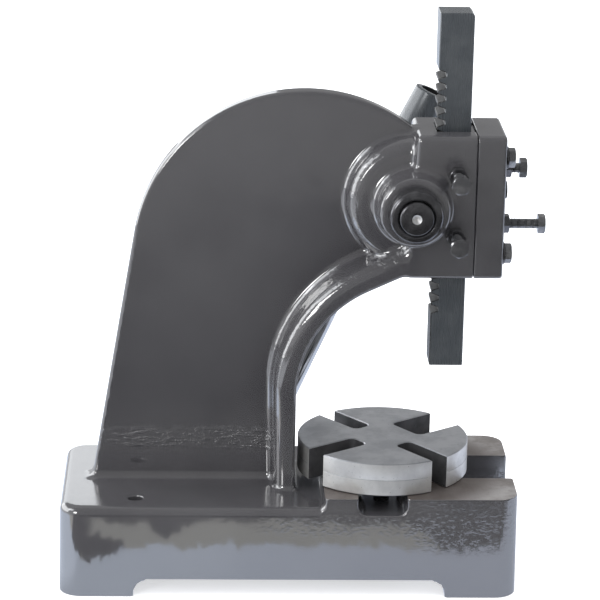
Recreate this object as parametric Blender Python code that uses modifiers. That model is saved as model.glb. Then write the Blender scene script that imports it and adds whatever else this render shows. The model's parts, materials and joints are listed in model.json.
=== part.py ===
"""A bench arbor press: cast frame, square ram with a rack, pinion shaft, sliding lever and table plate.

The sizes are in metres. In them the ram's axis is X = 0, Y = 0 and the feet stand on Z = 0: +X is the
open front, +Y the lever side. Everything hangs on one empty that puts the origin under the middle of the
outer box.
"""

import math

import bmesh
import bpy
from mathutils import Matrix, Vector

# Fits that all pieces share
SEAT_GAP = 0.0003
RUNNING_GAP = 0.0003
CUT_OVERRUN = 0.004
SINK = 0.002
WELD = 0.00002
ROUND_STEPS = 40
SMALL_ROUND_STEPS = 20
ARC_STEPS = 5
SMALL_ARC_STEPS = 3
WIDE_ARC_STEPS = 12
SMOOTH_ANGLE = math.radians(35)

# Ram and its rack
RAM_SIDE = 0.0254
RAM_LENGTH = 0.2708
RAM_REST_HEIGHT = 0.165
RAM_CHAMFER = 0.002
RACK_PITCH = 0.00902
RACK_TOP_LAND = 0.0458
RACK_BOTTOM_LAND = 0.04
RACK_ADDENDUM = 0.0026
RACK_DEPTH = 0.0058
RACK_BACKLASH = 0.0002
PRESSURE_ANGLE = math.radians(20)

# Pinion shaft
PINION_TEETH = 13
PINION_HEIGHT = 0.294
PINION_SHIFT = 0.0007
PINION_ADDENDUM = 0.0025
PINION_BACKLASH = 0.0005
PINION_ROOT_CLEARANCE = 0.0006
GEAR_HALF_WIDTH = 0.013
NEAR_JOURNAL_RADIUS = 0.0126
FAR_JOURNAL_OVER_TEETH = 0.00034
SHAFT_STICK_OUT = 0.0025
SHAFT_END_CHAMFER = 0.0015
SPIGOT_RADIUS = 0.011
SPIGOT_LENGTH = 0.0285

# Base of the casting
BASE_LEFT = 0.291
BASE_RIGHT = 0.0545
BASE_HALF_WIDTH = 0.072
BASE_CORNER = 0.016
BASE_TOP = 0.0704
BASE_EDGE = 0.004
PAD_TOP = 0.0785
PAD_LEFT = 0.092
PAD_CORNER = 0.006
PAD_INSET = 0.0004
ARCH_HEIGHT = 0.0126
ARCH_LEFT = 0.235
ARCH_RIGHT = 0
ARCH_CORNER = 0.0105
POCKET_WALL = 0.016
POCKET_ROOF = 0.046
POCKET_CORNER = 0.01
SLOT_HALF_WIDTH = 0.02466
SLOT_CENTRE = 0.002
GROOVE_LEFT = 0.0667
GROOVE_RIGHT = 0.0301
GROOVE_FLOOR = 0.0642
GROOVE_CORNER = 0.004
BOLT_HOLE_RADIUS = 0.00575
BOLT_HOLE_LEFT = 0.2338
BOLT_HOLE_SIDE = 0.0475

# Web of the casting
WEB_HALF_THICKNESS = 0.007
WEB_EDGE = 0.0058
WEB_ARC_LEFT = 0.1088
WEB_ARC_DROP = 0.0477
WEB_ARC_RADIUS = 0.1287
WEB_LEAN = math.radians(9.26)
WEB_ROOT = 0.012
WEB_HEAD_REACH = 0.011
WEB_CROWN_STEPS = 22

# Throat flange of the casting
THROAT_PLATE_GAP = 0.00282
THROAT_CENTRE_DROP = 0.1488
THROAT_RADIUS = 0.0916
THROAT_STRAIGHT_ANGLE = math.radians(25)
FLANGE_HALF_WIDTH = 0.0327
FLANGE_FOOT_BREADTH = 0.0117
FLANGE_HEAD_BREADTH = 0.0167
FLANGE_DRAFT = 0.0067
FOOT_FILLET = 0.008
THROAT_FOOT_FILLET = 0.012

# Head of the casting, and its front cap
HEAD_LEFT = 0.031
HEAD_FRONT = 0.01635
HEAD_DROP = 0.0547
HEAD_RISE = 0.054
HEAD_HALF_WIDTH = 0.033
HEAD_TOP_EDGE = 0.0048
HEAD_BOTTOM_EDGE = 0.0025
CAP_THICKNESS = 0.02155
PLATEAU_HALF_HEIGHT = 0.025
PLATEAU_RADIUS = 0.047
PLATEAU_FLARE = 0.006
NEAR_BOSS_RADIUS = 0.0255
FAR_BOSS_WALL = 0.0088
BOSS_FACE = 0.05
BOSS_FILLET = 0.006
GIB_THICKNESS = 0.004
FRONT_GIB_THICKNESS = 0.0033
GIB_END_GAP = 0.002

# Screws, nuts and washers, all M8
SCREW_RADIUS = 0.004
SCREW_HOLE_GAP = 0.0003
DOG_RADIUS = 0.003
DOG_LENGTH = 0.003
DIMPLE_DEPTH = 0.001
ACROSS_FLATS = 0.013
CAP_SCREW_HEAD = 0.0049
CAP_SCREW_GRIP = 0.018
CAP_SCREW_BOTTOM_GAP = 0.002
WASHER_RADIUS = 0.0082
WASHER_THICKNESS = 0.0014
CAP_SCREW_SIDE = 0.023
CAP_SCREW_INSET = 0.0177
GIB_SCREW_HEAD = 0.0056
GIB_NUT_HEIGHT = 0.0066
FRONT_SCREW_RISES = (0.0229, -0.0203)
FRONT_SCREW_TOPS = (0.0567, 0.0722)
SIDE_SCREW_RISES = (0.0248, -0.0218)
SIDE_SCREW_TOPS = (0.064, 0.067)
SIDE_SCREW_FRONT = 0.0023

# Shaft collar
COLLAR_RADIUS = 0.0199
COLLAR_LENGTH = 0.0137
COLLAR_ROUND = 0.004
SET_SCREW_RADIUS = 0.003
SET_SCREW_INSET = 0.0006

# Lever
LEVER_TILT = math.radians(24)
LEVER_BOSS_GAP = 0.044
LEVER_BASE_GAP = 0.022
LEVER_OFFSET = 0.004
SLEEVE_RADIUS = 0.015
SLEEVE_HALF_LENGTH = 0.063
SLEEVE_MOUTH_TAPER = 0.0015
SLEEVE_TAPER_LENGTH = 0.012
NECK_RADIUS = 0.017
NECK_FACE_GAP = 0.0004
CROSS_PIN_RADIUS = 0.003
CROSS_PIN_FROM_FACE = 0.014
CROSS_PIN_INSET = 0.0006
BAR_RADIUS = 0.009
BAR_UP = 0.048
BAR_DOWN = 0.25
BAR_STUD_RADIUS = 0.005
BAR_STUD_LENGTH = 0.016
BAR_CHAMFER = 0.0015
KNOB_RADIUS = 0.0135
KNOB_LENGTH = 0.027
KNOB_NECK_RADIUS = 0.0095
LOCK_SCREW_UP = 0.032
LOCK_SCREW_STAND_OFF = 0.003

# Table plate and its pin
PLATE_LEFT = 0.04535
PLATE_RADIUS = 0.06533
PLATE_THICKNESS = 0.0254
PLATE_SLOT_ROOT = 0.0225
PLATE_SLOT_CORNER = 0.005
PLATE_SLOT_ANGLES = (36.8, 128.7, 215.9, 307.8)
PLATE_SLOT_WIDTHS = (0.033, 0.0155, 0.0175, 0.015)
TABLE_PIN_RADIUS = 0.006
TABLE_PIN_DEPTH = 0.012
TABLE_PIN_UP = 0.032
TABLE_PIN_CHAMFER = 0.001

# Places that follow from the sizes
RAM_HALF = RAM_SIDE / 2
RACK_TOP_GAP = RAM_LENGTH - RACK_TOP_LAND
RACK_GAPS = 1 + math.floor((RACK_TOP_GAP - RACK_BOTTOM_LAND) / RACK_PITCH)
HEAD_BOTTOM = PINION_HEIGHT - HEAD_DROP
HEAD_TOP = PINION_HEIGHT + HEAD_RISE
WEB_ARC_HEIGHT = PINION_HEIGHT - WEB_ARC_DROP
THROAT_CENTRE_HEIGHT = PINION_HEIGHT - THROAT_CENTRE_DROP
THROAT_CENTRE_LEFT = PLATE_LEFT + PLATE_RADIUS + THROAT_PLATE_GAP - THROAT_RADIUS
FRONT_SCREW_HEIGHTS = tuple(PINION_HEIGHT + rise for rise in FRONT_SCREW_RISES)
SIDE_SCREW_HEIGHTS = tuple(PINION_HEIGHT + rise for rise in SIDE_SCREW_RISES)
LEVER_PLANE = max(BOSS_FACE + LEVER_BOSS_GAP, BASE_HALF_WIDTH + LEVER_BASE_GAP)
PITCH_RADIUS = RACK_PITCH * PINION_TEETH / math.tau
PINION_LEFT = RAM_HALF - RACK_ADDENDUM + PITCH_RADIUS + PINION_SHIFT
PINION_TIP = PITCH_RADIUS + PINION_SHIFT + PINION_ADDENDUM
PINION_ROOT = PINION_LEFT - RAM_HALF - PINION_ROOT_CLEARANCE
FAR_JOURNAL_RADIUS = PINION_TIP + FAR_JOURNAL_OVER_TEETH
FAR_BOSS_RADIUS = FAR_JOURNAL_RADIUS + FAR_BOSS_WALL
GUIDE_BACK = -RAM_HALF - RUNNING_GAP
GUIDE_FAR = RAM_HALF + RUNNING_GAP
GUIDE_NEAR = -RAM_HALF - RUNNING_GAP - GIB_THICKNESS - SEAT_GAP
FAR_BORE_END = -GEAR_HALF_WIDTH - RUNNING_GAP
CAP_BACK = HEAD_FRONT + SEAT_GAP
CAP_FRONT = CAP_BACK + CAP_THICKNESS
FRONT_GIB_BACK = RAM_HALF + RUNNING_GAP
FRONT_GIB_FRONT = FRONT_GIB_BACK + FRONT_GIB_THICKNESS
SIDE_GIB_OUT = RAM_HALF + RUNNING_GAP + GIB_THICKNESS
GIB_BOTTOM = HEAD_BOTTOM + GIB_END_GAP
GIB_TOP = HEAD_TOP - GIB_END_GAP
HEAD_MIDDLE = (HEAD_BOTTOM + HEAD_TOP) / 2
CAP_SCREW_PLACES = (
    (-CAP_SCREW_SIDE, HEAD_TOP - CAP_SCREW_INSET),
    (-CAP_SCREW_SIDE, HEAD_BOTTOM + CAP_SCREW_INSET),
    (CAP_SCREW_SIDE, HEAD_MIDDLE),
)
PLATE_BOTTOM = PAD_TOP + SEAT_GAP
NECK_START = BOSS_FACE + NECK_FACE_GAP
PRESS_FRONT = max(FRONT_SCREW_TOPS)
PRESS_FAR = LEVER_PLANE + SLEEVE_RADIUS + LOCK_SCREW_STAND_OFF + GIB_SCREW_HEAD

# Turns that bring a shape's own Z axis, or the face of an outline, to a world axis
TO_FRONT = Matrix(((0, 0, 1), (1, 0, 0), (0, 1, 0))).to_4x4()
TO_NEAR = Matrix.Rotation(math.pi / 2, 4, "X")
TO_FAR = Matrix.Rotation(-math.pi / 2, 4, "X")
TO_LEFT = Matrix.Rotation(-math.pi / 2, 4, "Y")
UPRIGHT = Matrix.Identity(4)


def clear_scene():
    for obj in list(bpy.data.objects):
        bpy.data.objects.remove(obj)


def new_collection(name):
    made = bpy.data.collections.new(name)
    bpy.context.scene.collection.children.link(made)
    return made


def principled(name, colour, roughness, metallic):
    made = bpy.data.materials.new(name)
    made.use_nodes = True
    shader = made.node_tree.nodes["Principled BSDF"]
    shader.inputs["Base Color"].default_value = (*colour, 1)
    shader.inputs["Roughness"].default_value = roughness
    shader.inputs["Metallic"].default_value = metallic
    return made


clear_scene()
PARTS = new_collection("arbor_press")
CUTTERS = new_collection("cutters")
CUTTERS.hide_render = True
PAINT = principled("grey_enamel", (0.075, 0.077, 0.082), 0.22, 0)
BLACK_STEEL = principled("black_steel", (0.03, 0.03, 0.032), 0.42, 0.8)
RAM_STEEL = principled("dark_ground_steel", (0.07, 0.075, 0.08), 0.45, 0.7)
BRIGHT_STEEL = principled("polished_steel", (0.55, 0.56, 0.57), 0.2, 1)
CAST_STEEL = principled("machined_iron", (0.32, 0.33, 0.34), 0.38, 0.9)
BLACK_PLASTIC = principled("black_plastic", (0.02, 0.02, 0.02), 0.35, 0)


def empty(name, location, parent=None, tilt=0):
    made = bpy.data.objects.new(name, None)
    made.location = location
    made.rotation_euler = (0, tilt, 0)
    made.parent = parent
    PARTS.objects.link(made)
    return made


def place(name, mesh, parent, location=(0, 0, 0), turn=UPRIGHT, material=None):
    """One object of this mesh: a part when it has a material, or else a shape that joins or cuts one."""
    mesh.transform(turn)
    if material:
        mesh.materials.append(material)
    mesh.shade_smooth()
    mesh.set_sharp_from_angle(angle=SMOOTH_ANGLE)
    made = bpy.data.objects.new(name, mesh)
    made.location = location
    made.parent = parent
    (PARTS if material else CUTTERS).objects.link(made)
    if not material:
        made.hide_render = True
        made.display_type = "WIRE"
    return made


def boolean(obj, other, operation):
    modifier = obj.modifiers.new(other.name, "BOOLEAN")
    modifier.operation = operation
    modifier.solver = "EXACT"
    modifier.object = other


def join(obj, *others):
    for other in others:
        boolean(obj, other, "UNION")


def cut(obj, *others):
    for other in others:
        boolean(obj, other, "DIFFERENCE")


def mesh_of(builder):
    made = bpy.data.meshes.new("shape")
    builder.to_mesh(made)
    builder.free()
    return made


def evaluated_mesh(obj):
    """The mesh that a curve or a modifier gives, welded, with the object it came from removed."""
    bpy.context.scene.collection.objects.link(obj)
    graph = bpy.context.evaluated_depsgraph_get()
    made = bpy.data.meshes.new_from_object(obj.evaluated_get(graph))
    bpy.data.objects.remove(obj)
    builder = bmesh.new()
    builder.from_mesh(made)
    bmesh.ops.remove_doubles(builder, verts=builder.verts, dist=WELD)
    bmesh.ops.recalc_face_normals(builder, faces=builder.faces)
    return mesh_of(builder)


def box(low, high):
    builder = bmesh.new()
    bmesh.ops.create_cube(builder, size=1)
    size = Vector(high) - Vector(low)
    middle = (Vector(high) + Vector(low)) / 2
    bmesh.ops.transform(builder, matrix=Matrix.LocRotScale(middle, None, size), verts=builder.verts)
    return mesh_of(builder)


def cylinder(radius, start, end, steps=SMALL_ROUND_STEPS):
    """Round bar along Z from start to end. Six steps make a hexagon."""
    builder = bmesh.new()
    half_step = Matrix.Rotation(math.pi / steps, 4, "Z")
    middle = Matrix.Translation((0, 0, (start + end) / 2))
    bmesh.ops.create_cone(builder, cap_ends=True, segments=steps, radius1=radius, radius2=radius,
                          depth=end - start, matrix=middle @ half_step)
    return mesh_of(builder)


def turned(profile, steps=ROUND_STEPS, ring=False):
    """Solid of revolution about Z from (radius, height) points, from the top down on the outer side."""
    count = len(profile)
    edges = [(i, i + 1) for i in range(count - 1)]
    if ring:
        edges.append((count - 1, 0))
    outline = bpy.data.meshes.new("profile")
    outline.from_pydata([(radius, 0, height) for radius, height in profile], edges, [])
    obj = bpy.data.objects.new("profile", outline)
    screw = obj.modifiers.new("turn", "SCREW")
    screw.steps = steps
    screw.render_steps = steps
    screw.use_merge_vertices = True
    screw.merge_threshold = WELD
    return evaluated_mesh(obj)


def slab(points, start, end):
    """Flat outline in X and Y, given its thickness along Z from start to end."""
    curve = bpy.data.curves.new("outline", "CURVE")
    curve.dimensions = "2D"
    curve.fill_mode = "BOTH"
    curve.extrude = (end - start) / 2
    spline = curve.splines.new("POLY")
    spline.points.add(len(points) - 1)
    for point, (x, y) in zip(spline.points, points):
        point.co = (x, y, 0, 1)
    spline.use_cyclic_u = True
    made = evaluated_mesh(bpy.data.objects.new("outline", curve))
    made.transform(Matrix.Translation((0, 0, (start + end) / 2)))
    return made


def rounded_edges(mesh, chosen, width, segments=2):
    """Bevels the edges whose two ends both answer to chosen."""
    builder = bmesh.new()
    builder.from_mesh(mesh)
    bmesh.ops.dissolve_limit(builder, angle_limit=math.radians(1), verts=builder.verts, edges=builder.edges)
    edges = [edge for edge in builder.edges if all(chosen(end.co) for end in edge.verts)]
    bmesh.ops.bevel(builder, geom=edges, offset=width, segments=segments, profile=0.5, affect="EDGES")
    return mesh_of(builder)


def arc(centre, radius, start, end, steps=ARC_STEPS):
    """Points on a circle between two angles, in degrees, with both ends."""
    angles = [math.radians(start + (end - start) * i / steps) for i in range(steps + 1)]
    return [(centre[0] + radius * math.cos(a), centre[1] + radius * math.sin(a)) for a in angles]


def rounded_rectangle(low, high, low_corner, high_corner):
    """Outline whose corners have low_corner at the lower second coordinate, and high_corner at the upper."""
    (x0, y0), (x1, y1) = low, high
    a, b = low_corner, high_corner
    return [
        *arc((x1 - a, y0 + a), a, 270, 360),
        *arc((x1 - b, y1 - b), b, 0, 90),
        *arc((x0 + b, y1 - b), b, 90, 180),
        *arc((x0 + a, y0 + a), a, 180, 270),
    ]


def base_shapes(root):
    corner = BASE_CORNER
    low = rounded_rectangle((-BASE_LEFT, -BASE_HALF_WIDTH), (BASE_RIGHT, BASE_HALF_WIDTH), corner, corner)
    mesh = slab(low, 0, BASE_TOP)
    mesh = rounded_edges(mesh, lambda point: point.z > BASE_TOP - WELD, BASE_EDGE)
    base = place("frame", mesh, root, material=PAINT)
    side = BASE_HALF_WIDTH - PAD_INSET
    right = BASE_RIGHT - PAD_INSET
    pad = [
        *arc((right - corner, -side + corner), corner, 270, 360),
        *arc((right - corner, side - corner), corner, 0, 90),
        *arc((-PAD_LEFT + PAD_CORNER, side - PAD_CORNER), PAD_CORNER, 90, 180),
        *arc((-PAD_LEFT + PAD_CORNER, -side + PAD_CORNER), PAD_CORNER, 180, 270),
    ]
    join(base, place("pad", slab(pad, POCKET_ROOF + CUT_OVERRUN, PAD_TOP), root))
    return base


def base_cuts(root):
    across = BASE_HALF_WIDTH + CUT_OVERRUN
    corner = ARCH_CORNER
    arch = [
        (-ARCH_LEFT, -CUT_OVERRUN),
        (-ARCH_RIGHT, -CUT_OVERRUN),
        *arc((-ARCH_RIGHT - corner, ARCH_HEIGHT - corner), corner, 0, 90),
        *arc((-ARCH_LEFT + corner, ARCH_HEIGHT - corner), corner, 90, 180),
    ]
    groove = [
        (-GROOVE_LEFT, PAD_TOP + CUT_OVERRUN),
        *arc((-GROOVE_LEFT + GROOVE_CORNER, GROOVE_FLOOR + GROOVE_CORNER), GROOVE_CORNER, 180, 270),
        *arc((-GROOVE_RIGHT - GROOVE_CORNER, GROOVE_FLOOR + GROOVE_CORNER), GROOVE_CORNER, 270, 360),
        (-GROOVE_RIGHT, PAD_TOP + CUT_OVERRUN),
    ]
    slot = [
        (BASE_RIGHT + CUT_OVERRUN, SLOT_HALF_WIDTH),
        *arc((SLOT_CENTRE, 0), SLOT_HALF_WIDTH, 90, 270, WIDE_ARC_STEPS),
        (BASE_RIGHT + CUT_OVERRUN, -SLOT_HALF_WIDTH),
    ]
    pocket_side = BASE_HALF_WIDTH - POCKET_WALL
    pocket = rounded_rectangle((-BASE_LEFT + POCKET_WALL, -pocket_side), (-GROOVE_RIGHT, pocket_side),
                               POCKET_CORNER, POCKET_CORNER)
    shapes = [
        place("arch", slab(arch, -across, across), root, turn=TO_NEAR),
        place("groove", slab(groove, -across, across), root, turn=TO_NEAR),
        place("slot", slab(slot, -CUT_OVERRUN, PAD_TOP + CUT_OVERRUN), root),
        place("pocket", slab(pocket, -CUT_OVERRUN, POCKET_ROOF), root),
        place("pin_hole", cylinder(TABLE_PIN_RADIUS + SEAT_GAP, GROOVE_FLOOR - TABLE_PIN_DEPTH,
                                   PAD_TOP), root, (-PLATE_LEFT, 0, 0)),
    ]
    for side in (-BOLT_HOLE_SIDE, BOLT_HOLE_SIDE):
        hole = cylinder(BOLT_HOLE_RADIUS, POCKET_ROOF - CUT_OVERRUN, BASE_TOP + CUT_OVERRUN)
        shapes.append(place("bolt_hole", hole, root, (-BOLT_HOLE_LEFT, side, 0)))
    return shapes


def web_shape(root):
    """The thin upright plate: a leaning back edge, a round top, an inner edge hidden in flange and head."""
    lean = math.degrees(WEB_LEAN)
    start = 180 - lean
    head_x = WEB_HEAD_REACH - HEAD_LEFT
    end = math.degrees(math.acos((WEB_ARC_LEFT + head_x) / WEB_ARC_RADIUS))
    crown = arc((-WEB_ARC_LEFT, WEB_ARC_HEIGHT), WEB_ARC_RADIUS, start, end, WEB_CROWN_STEPS)
    foot = BASE_TOP - WEB_ROOT
    back_x = crown[0][0] - math.tan(WEB_LEAN) * (crown[0][1] - foot)
    inner_radius = THROAT_RADIUS + FLANGE_FOOT_BREADTH / 2
    inner = arc((-THROAT_CENTRE_LEFT, THROAT_CENTRE_HEIGHT), inner_radius, 100, 180, WIDE_ARC_STEPS)
    outline = [(back_x, foot), *crown, (head_x, HEAD_MIDDLE), *inner, (inner[-1][0], foot)]
    mesh = slab(outline, -WEB_HALF_THICKNESS, WEB_HALF_THICKNESS)
    return place("web", rounded_edges(mesh, lambda point: True, WEB_EDGE, 3), root, turn=TO_NEAR)


def flange_stations():
    """Places along the throat edge from the foot to the head, each with its outward direction."""
    vertical_x = -THROAT_CENTRE_LEFT - THROAT_RADIUS
    centre = Vector((-THROAT_CENTRE_LEFT, THROAT_CENTRE_HEIGHT))
    fillet = max(FOOT_FILLET, THROAT_FOOT_FILLET)
    heights = [BASE_TOP - WEB_ROOT] + [BASE_TOP + fillet * share for share in (0, 1 / 6, 1 / 3, 2 / 3, 1)]
    stations = [(Vector((vertical_x, height)), Vector((-1, 0))) for height in heights]
    turn = 90 - math.degrees(THROAT_STRAIGHT_ANGLE)
    for i in range(WIDE_ARC_STEPS + 1):
        angle = math.radians(180 - turn * i / WIDE_ARC_STEPS)
        outward = Vector((math.cos(angle), math.sin(angle)))
        stations.append((centre + THROAT_RADIUS * outward, outward))
    last, outward = stations[-1]
    along = Vector((outward.y, -outward.x))
    stations.append((last + along * (SINK - HEAD_LEFT - last.x) / along.x, outward))
    return stations


def flange_shape(root):
    """Bar of six-sided section round the throat, broad at the web, which spreads at its foot."""
    stations = flange_stations()
    lengths = [0]
    for (a, _), (b, _) in zip(stations, stations[1:]):
        lengths.append(lengths[-1] + (b - a).length)
    builder = bmesh.new()
    rings = []
    for (point, outward), length in zip(stations, lengths):
        breadth = FLANGE_FOOT_BREADTH + (FLANGE_HEAD_BREADTH - FLANGE_FOOT_BREADTH) * length / lengths[-1]
        straight = outward.y == 0
        spread = fillet_spread(point.y - BASE_TOP, FOOT_FILLET) if straight else 0
        inward = fillet_spread(point.y - BASE_TOP, THROAT_FOOT_FILLET) if straight else 0
        half = FLANGE_HALF_WIDTH + spread
        inner = point - outward * inward
        outer = point + outward * (breadth + spread)
        root_line = outer + outward * FLANGE_DRAFT
        root_half = WEB_HALF_THICKNESS - SINK
        section = [(inner, -half), (inner, half), (outer, half), (root_line, root_half),
                   (root_line, -root_half), (outer, -half)]
        rings.append([builder.verts.new((spot.x, side, spot.y)) for spot, side in section])
    for one, other in zip(rings, rings[1:]):
        for i in range(len(one)):
            j = (i + 1) % len(one)
            builder.faces.new((one[i], one[j], other[j], other[i]))
    builder.faces.new(rings[0])
    builder.faces.new(rings[-1])
    bmesh.ops.recalc_face_normals(builder, faces=builder.faces)
    return place("flange", mesh_of(builder), root)


def fillet_spread(height, radius):
    """How far a foot fillet of this radius reaches outward at a height above the surface it runs into."""
    left = radius - min(max(height, 0), radius)
    return radius - math.sqrt(radius**2 - left**2)


def head_shapes(root, pinion):
    section = rounded_rectangle((-HEAD_HALF_WIDTH, HEAD_BOTTOM), (HEAD_HALF_WIDTH, HEAD_TOP),
                                HEAD_BOTTOM_EDGE, HEAD_TOP_EDGE)
    near, far = NEAR_BOSS_RADIUS, FAR_BOSS_RADIUS
    flare = PLATEAU_RADIUS + PLATEAU_FLARE
    fillet = BOSS_FILLET
    top = PLATEAU_HALF_HEIGHT
    rim = WEB_HALF_THICKNESS - SINK
    profile = [
        (0, BOSS_FACE), (near, BOSS_FACE), (near, top + fillet), (near + fillet / 3, top + fillet / 3),
        (near + fillet, top), (PLATEAU_RADIUS, top), (flare, rim), (flare, -rim), (PLATEAU_RADIUS, -top),
        (far, -top), (far, -BOSS_FACE), (0, -BOSS_FACE),
    ]
    return [
        place("head", slab(section, -HEAD_LEFT, HEAD_FRONT), root, turn=TO_FRONT),
        place("boss", turned(profile), pinion, turn=TO_NEAR),
    ]


def head_cuts(root, pinion):
    over = CUT_OVERRUN
    near_bore = NEAR_JOURNAL_RADIUS + RUNNING_GAP
    far_bore = FAR_JOURNAL_RADIUS + RUNNING_GAP
    bottom = HEAD_BOTTOM - over
    front_cut = HEAD_FRONT + CAP_THICKNESS
    guide = box((GUIDE_BACK, GUIDE_NEAR, bottom), (front_cut, GUIDE_FAR, HEAD_TOP + over))
    seat = box((HEAD_FRONT, -BOSS_FACE, bottom), (front_cut, BOSS_FACE, HEAD_TOP + over))
    near_hole = cylinder(near_bore, -BOSS_FACE - over, 0, ROUND_STEPS)
    far_hole = cylinder(far_bore, FAR_BORE_END, BOSS_FACE + over, ROUND_STEPS)
    shapes = [
        place("cap_seat", seat, root),
        place("ram_guide", guide, root),
        place("near_bore", near_hole, pinion, turn=TO_FAR),
        place("far_bore", far_hole, pinion, turn=TO_FAR),
    ]
    hole = SCREW_RADIUS + SCREW_HOLE_GAP
    for side, height in CAP_SCREW_PLACES:
        drill = cylinder(hole, HEAD_FRONT - CAP_SCREW_GRIP - CAP_SCREW_BOTTOM_GAP, front_cut)
        shapes.append(place("tapped_hole", drill, root, (0, side, height), TO_FRONT))
    for height in SIDE_SCREW_HEIGHTS:
        drill = cylinder(hole, -GUIDE_NEAR - over, HEAD_HALF_WIDTH + over)
        shapes.append(place("tapped_hole", drill, root, (SIDE_SCREW_FRONT, 0, height), TO_NEAR))
    return shapes


def build_frame(root, pinion):
    frame = base_shapes(root)
    join(frame, web_shape(root), flange_shape(root), *head_shapes(root, pinion))
    cut(frame, *base_cuts(root), *head_cuts(root, pinion))


def build_cap(root):
    section = rounded_rectangle((-HEAD_HALF_WIDTH, HEAD_BOTTOM), (HEAD_HALF_WIDTH, HEAD_TOP),
                                HEAD_BOTTOM_EDGE, HEAD_TOP_EDGE)
    cap = place("front_cap", slab(section, CAP_BACK, CAP_FRONT), root, turn=TO_FRONT, material=PAINT)
    places = [*CAP_SCREW_PLACES, *((0, height) for height in FRONT_SCREW_HEIGHTS)]
    for side, height in places:
        drill = cylinder(SCREW_RADIUS + SCREW_HOLE_GAP, CAP_BACK - CUT_OVERRUN, CAP_FRONT + CUT_OVERRUN)
        cut(cap, place("cap_hole", drill, root, (0, side, height), TO_FRONT))


def hexagon(start, end):
    return cylinder(ACROSS_FLATS / math.sqrt(3), start, end, 6)


def hex_screw(name, parent, location, turn, head, tip, dog):
    """Screw along its own Z: head is its lower and upper face, tip its far end, dog its thin end's length."""
    screw = place(name, hexagon(*head), parent, location, turn, BLACK_STEEL)
    inside = (head[0] + head[1]) / 2
    profile = [(0, inside), (SCREW_RADIUS, inside), (SCREW_RADIUS, tip + dog)]
    if dog:
        profile += [(DOG_RADIUS, tip + dog), (DOG_RADIUS, tip)]
    profile.append((0, tip))
    join(screw, place("shank", turned(profile, SMALL_ROUND_STEPS), parent, location, turn))


def hex_nut(name, parent, location, turn, start, end):
    nut = place(name, hexagon(start, end), parent, location, turn, BLACK_STEEL)
    drill = cylinder(SCREW_RADIUS + SCREW_HOLE_GAP, start - CUT_OVERRUN, end + CUT_OVERRUN)
    cut(nut, place("thread", drill, parent, location, turn))


def build_cap_screws(root):
    washer_low = CAP_FRONT + SEAT_GAP
    washer_high = washer_low + WASHER_THICKNESS
    head_low = washer_high + SEAT_GAP
    bore = SCREW_RADIUS + SCREW_HOLE_GAP
    rim = WASHER_RADIUS
    ring = [(bore, washer_high), (rim, washer_high), (rim, washer_low), (bore, washer_low)]
    for number, (side, height) in enumerate(CAP_SCREW_PLACES, 1):
        spot = (0, side, height)
        head = (head_low, head_low + CAP_SCREW_HEAD)
        hex_screw(f"cap_screw_{number}", root, spot, TO_FRONT, head, HEAD_FRONT - CAP_SCREW_GRIP, 0)
        washer = turned(ring, SMALL_ROUND_STEPS, ring=True)
        place(f"cap_washer_{number}", washer, root, spot, TO_FRONT, BLACK_STEEL)


def build_gib_screws(root):
    rows = (
        ("front", TO_FRONT, FRONT_SCREW_HEIGHTS, FRONT_SCREW_TOPS, 0, CAP_FRONT, FRONT_GIB_FRONT),
        ("side", TO_NEAR, SIDE_SCREW_HEIGHTS, SIDE_SCREW_TOPS, SIDE_SCREW_FRONT, HEAD_HALF_WIDTH,
         SIDE_GIB_OUT),
    )
    for word, turn, heights, tops, along, face, gib in rows:
        for number, (height, top) in enumerate(zip(heights, tops), 1):
            spot = (along, 0, height)
            tip = gib - DIMPLE_DEPTH + SEAT_GAP
            head = (top - GIB_SCREW_HEAD, top)
            hex_screw(f"{word}_gib_screw_{number}", root, spot, turn, head, tip, DOG_LENGTH)
            start = face + SEAT_GAP
            hex_nut(f"{word}_gib_nut_{number}", root, spot, turn, start, start + GIB_NUT_HEIGHT)


def build_gibs(root):
    """Two flat strips that the screws push against the ram."""
    front = box((FRONT_GIB_BACK, GUIDE_NEAR + SEAT_GAP, GIB_BOTTOM),
                (FRONT_GIB_FRONT, GUIDE_FAR - SEAT_GAP, GIB_TOP))
    side = box((GUIDE_BACK + SEAT_GAP, -SIDE_GIB_OUT, GIB_BOTTOM),
               (FRONT_GIB_BACK - SEAT_GAP, -RAM_HALF - RUNNING_GAP, GIB_TOP))
    front_gib = place("front_gib", front, root, material=CAST_STEEL)
    side_gib = place("side_gib", side, root, material=CAST_STEEL)
    rows = (
        (front_gib, TO_FRONT, FRONT_SCREW_HEIGHTS, 0, FRONT_GIB_FRONT),
        (side_gib, TO_NEAR, SIDE_SCREW_HEIGHTS, SIDE_SCREW_FRONT, SIDE_GIB_OUT),
    )
    for gib, turn, heights, along, face in rows:
        for height in heights:
            drill = cylinder(DOG_RADIUS + SEAT_GAP, face - DIMPLE_DEPTH, face + CUT_OVERRUN)
            cut(gib, place("dimple", drill, root, (along, 0, height), turn))


def ram_outline():
    """Side view of the ram: a plain bar whose left face has straight-sided rack gaps."""
    half = RAM_HALF
    slope = math.tan(PRESSURE_ANGLE)
    datum_half = (RACK_PITCH / 2 + RACK_BACKLASH) / 2
    mouth = datum_half + RACK_ADDENDUM * slope
    floor = datum_half - (RACK_DEPTH - RACK_ADDENDUM) * slope
    points = [(-half, 0), (half, 0), (half, RAM_LENGTH - RAM_CHAMFER), (half - RAM_CHAMFER, RAM_LENGTH),
              (-half + RAM_CHAMFER, RAM_LENGTH), (-half, RAM_LENGTH - RAM_CHAMFER)]
    for gap in range(RACK_GAPS):
        middle = RACK_TOP_GAP - gap * RACK_PITCH
        points += [(-half, middle + mouth), (-half + RACK_DEPTH, middle + floor),
                   (-half + RACK_DEPTH, middle - floor), (-half, middle - mouth)]
    return points


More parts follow.
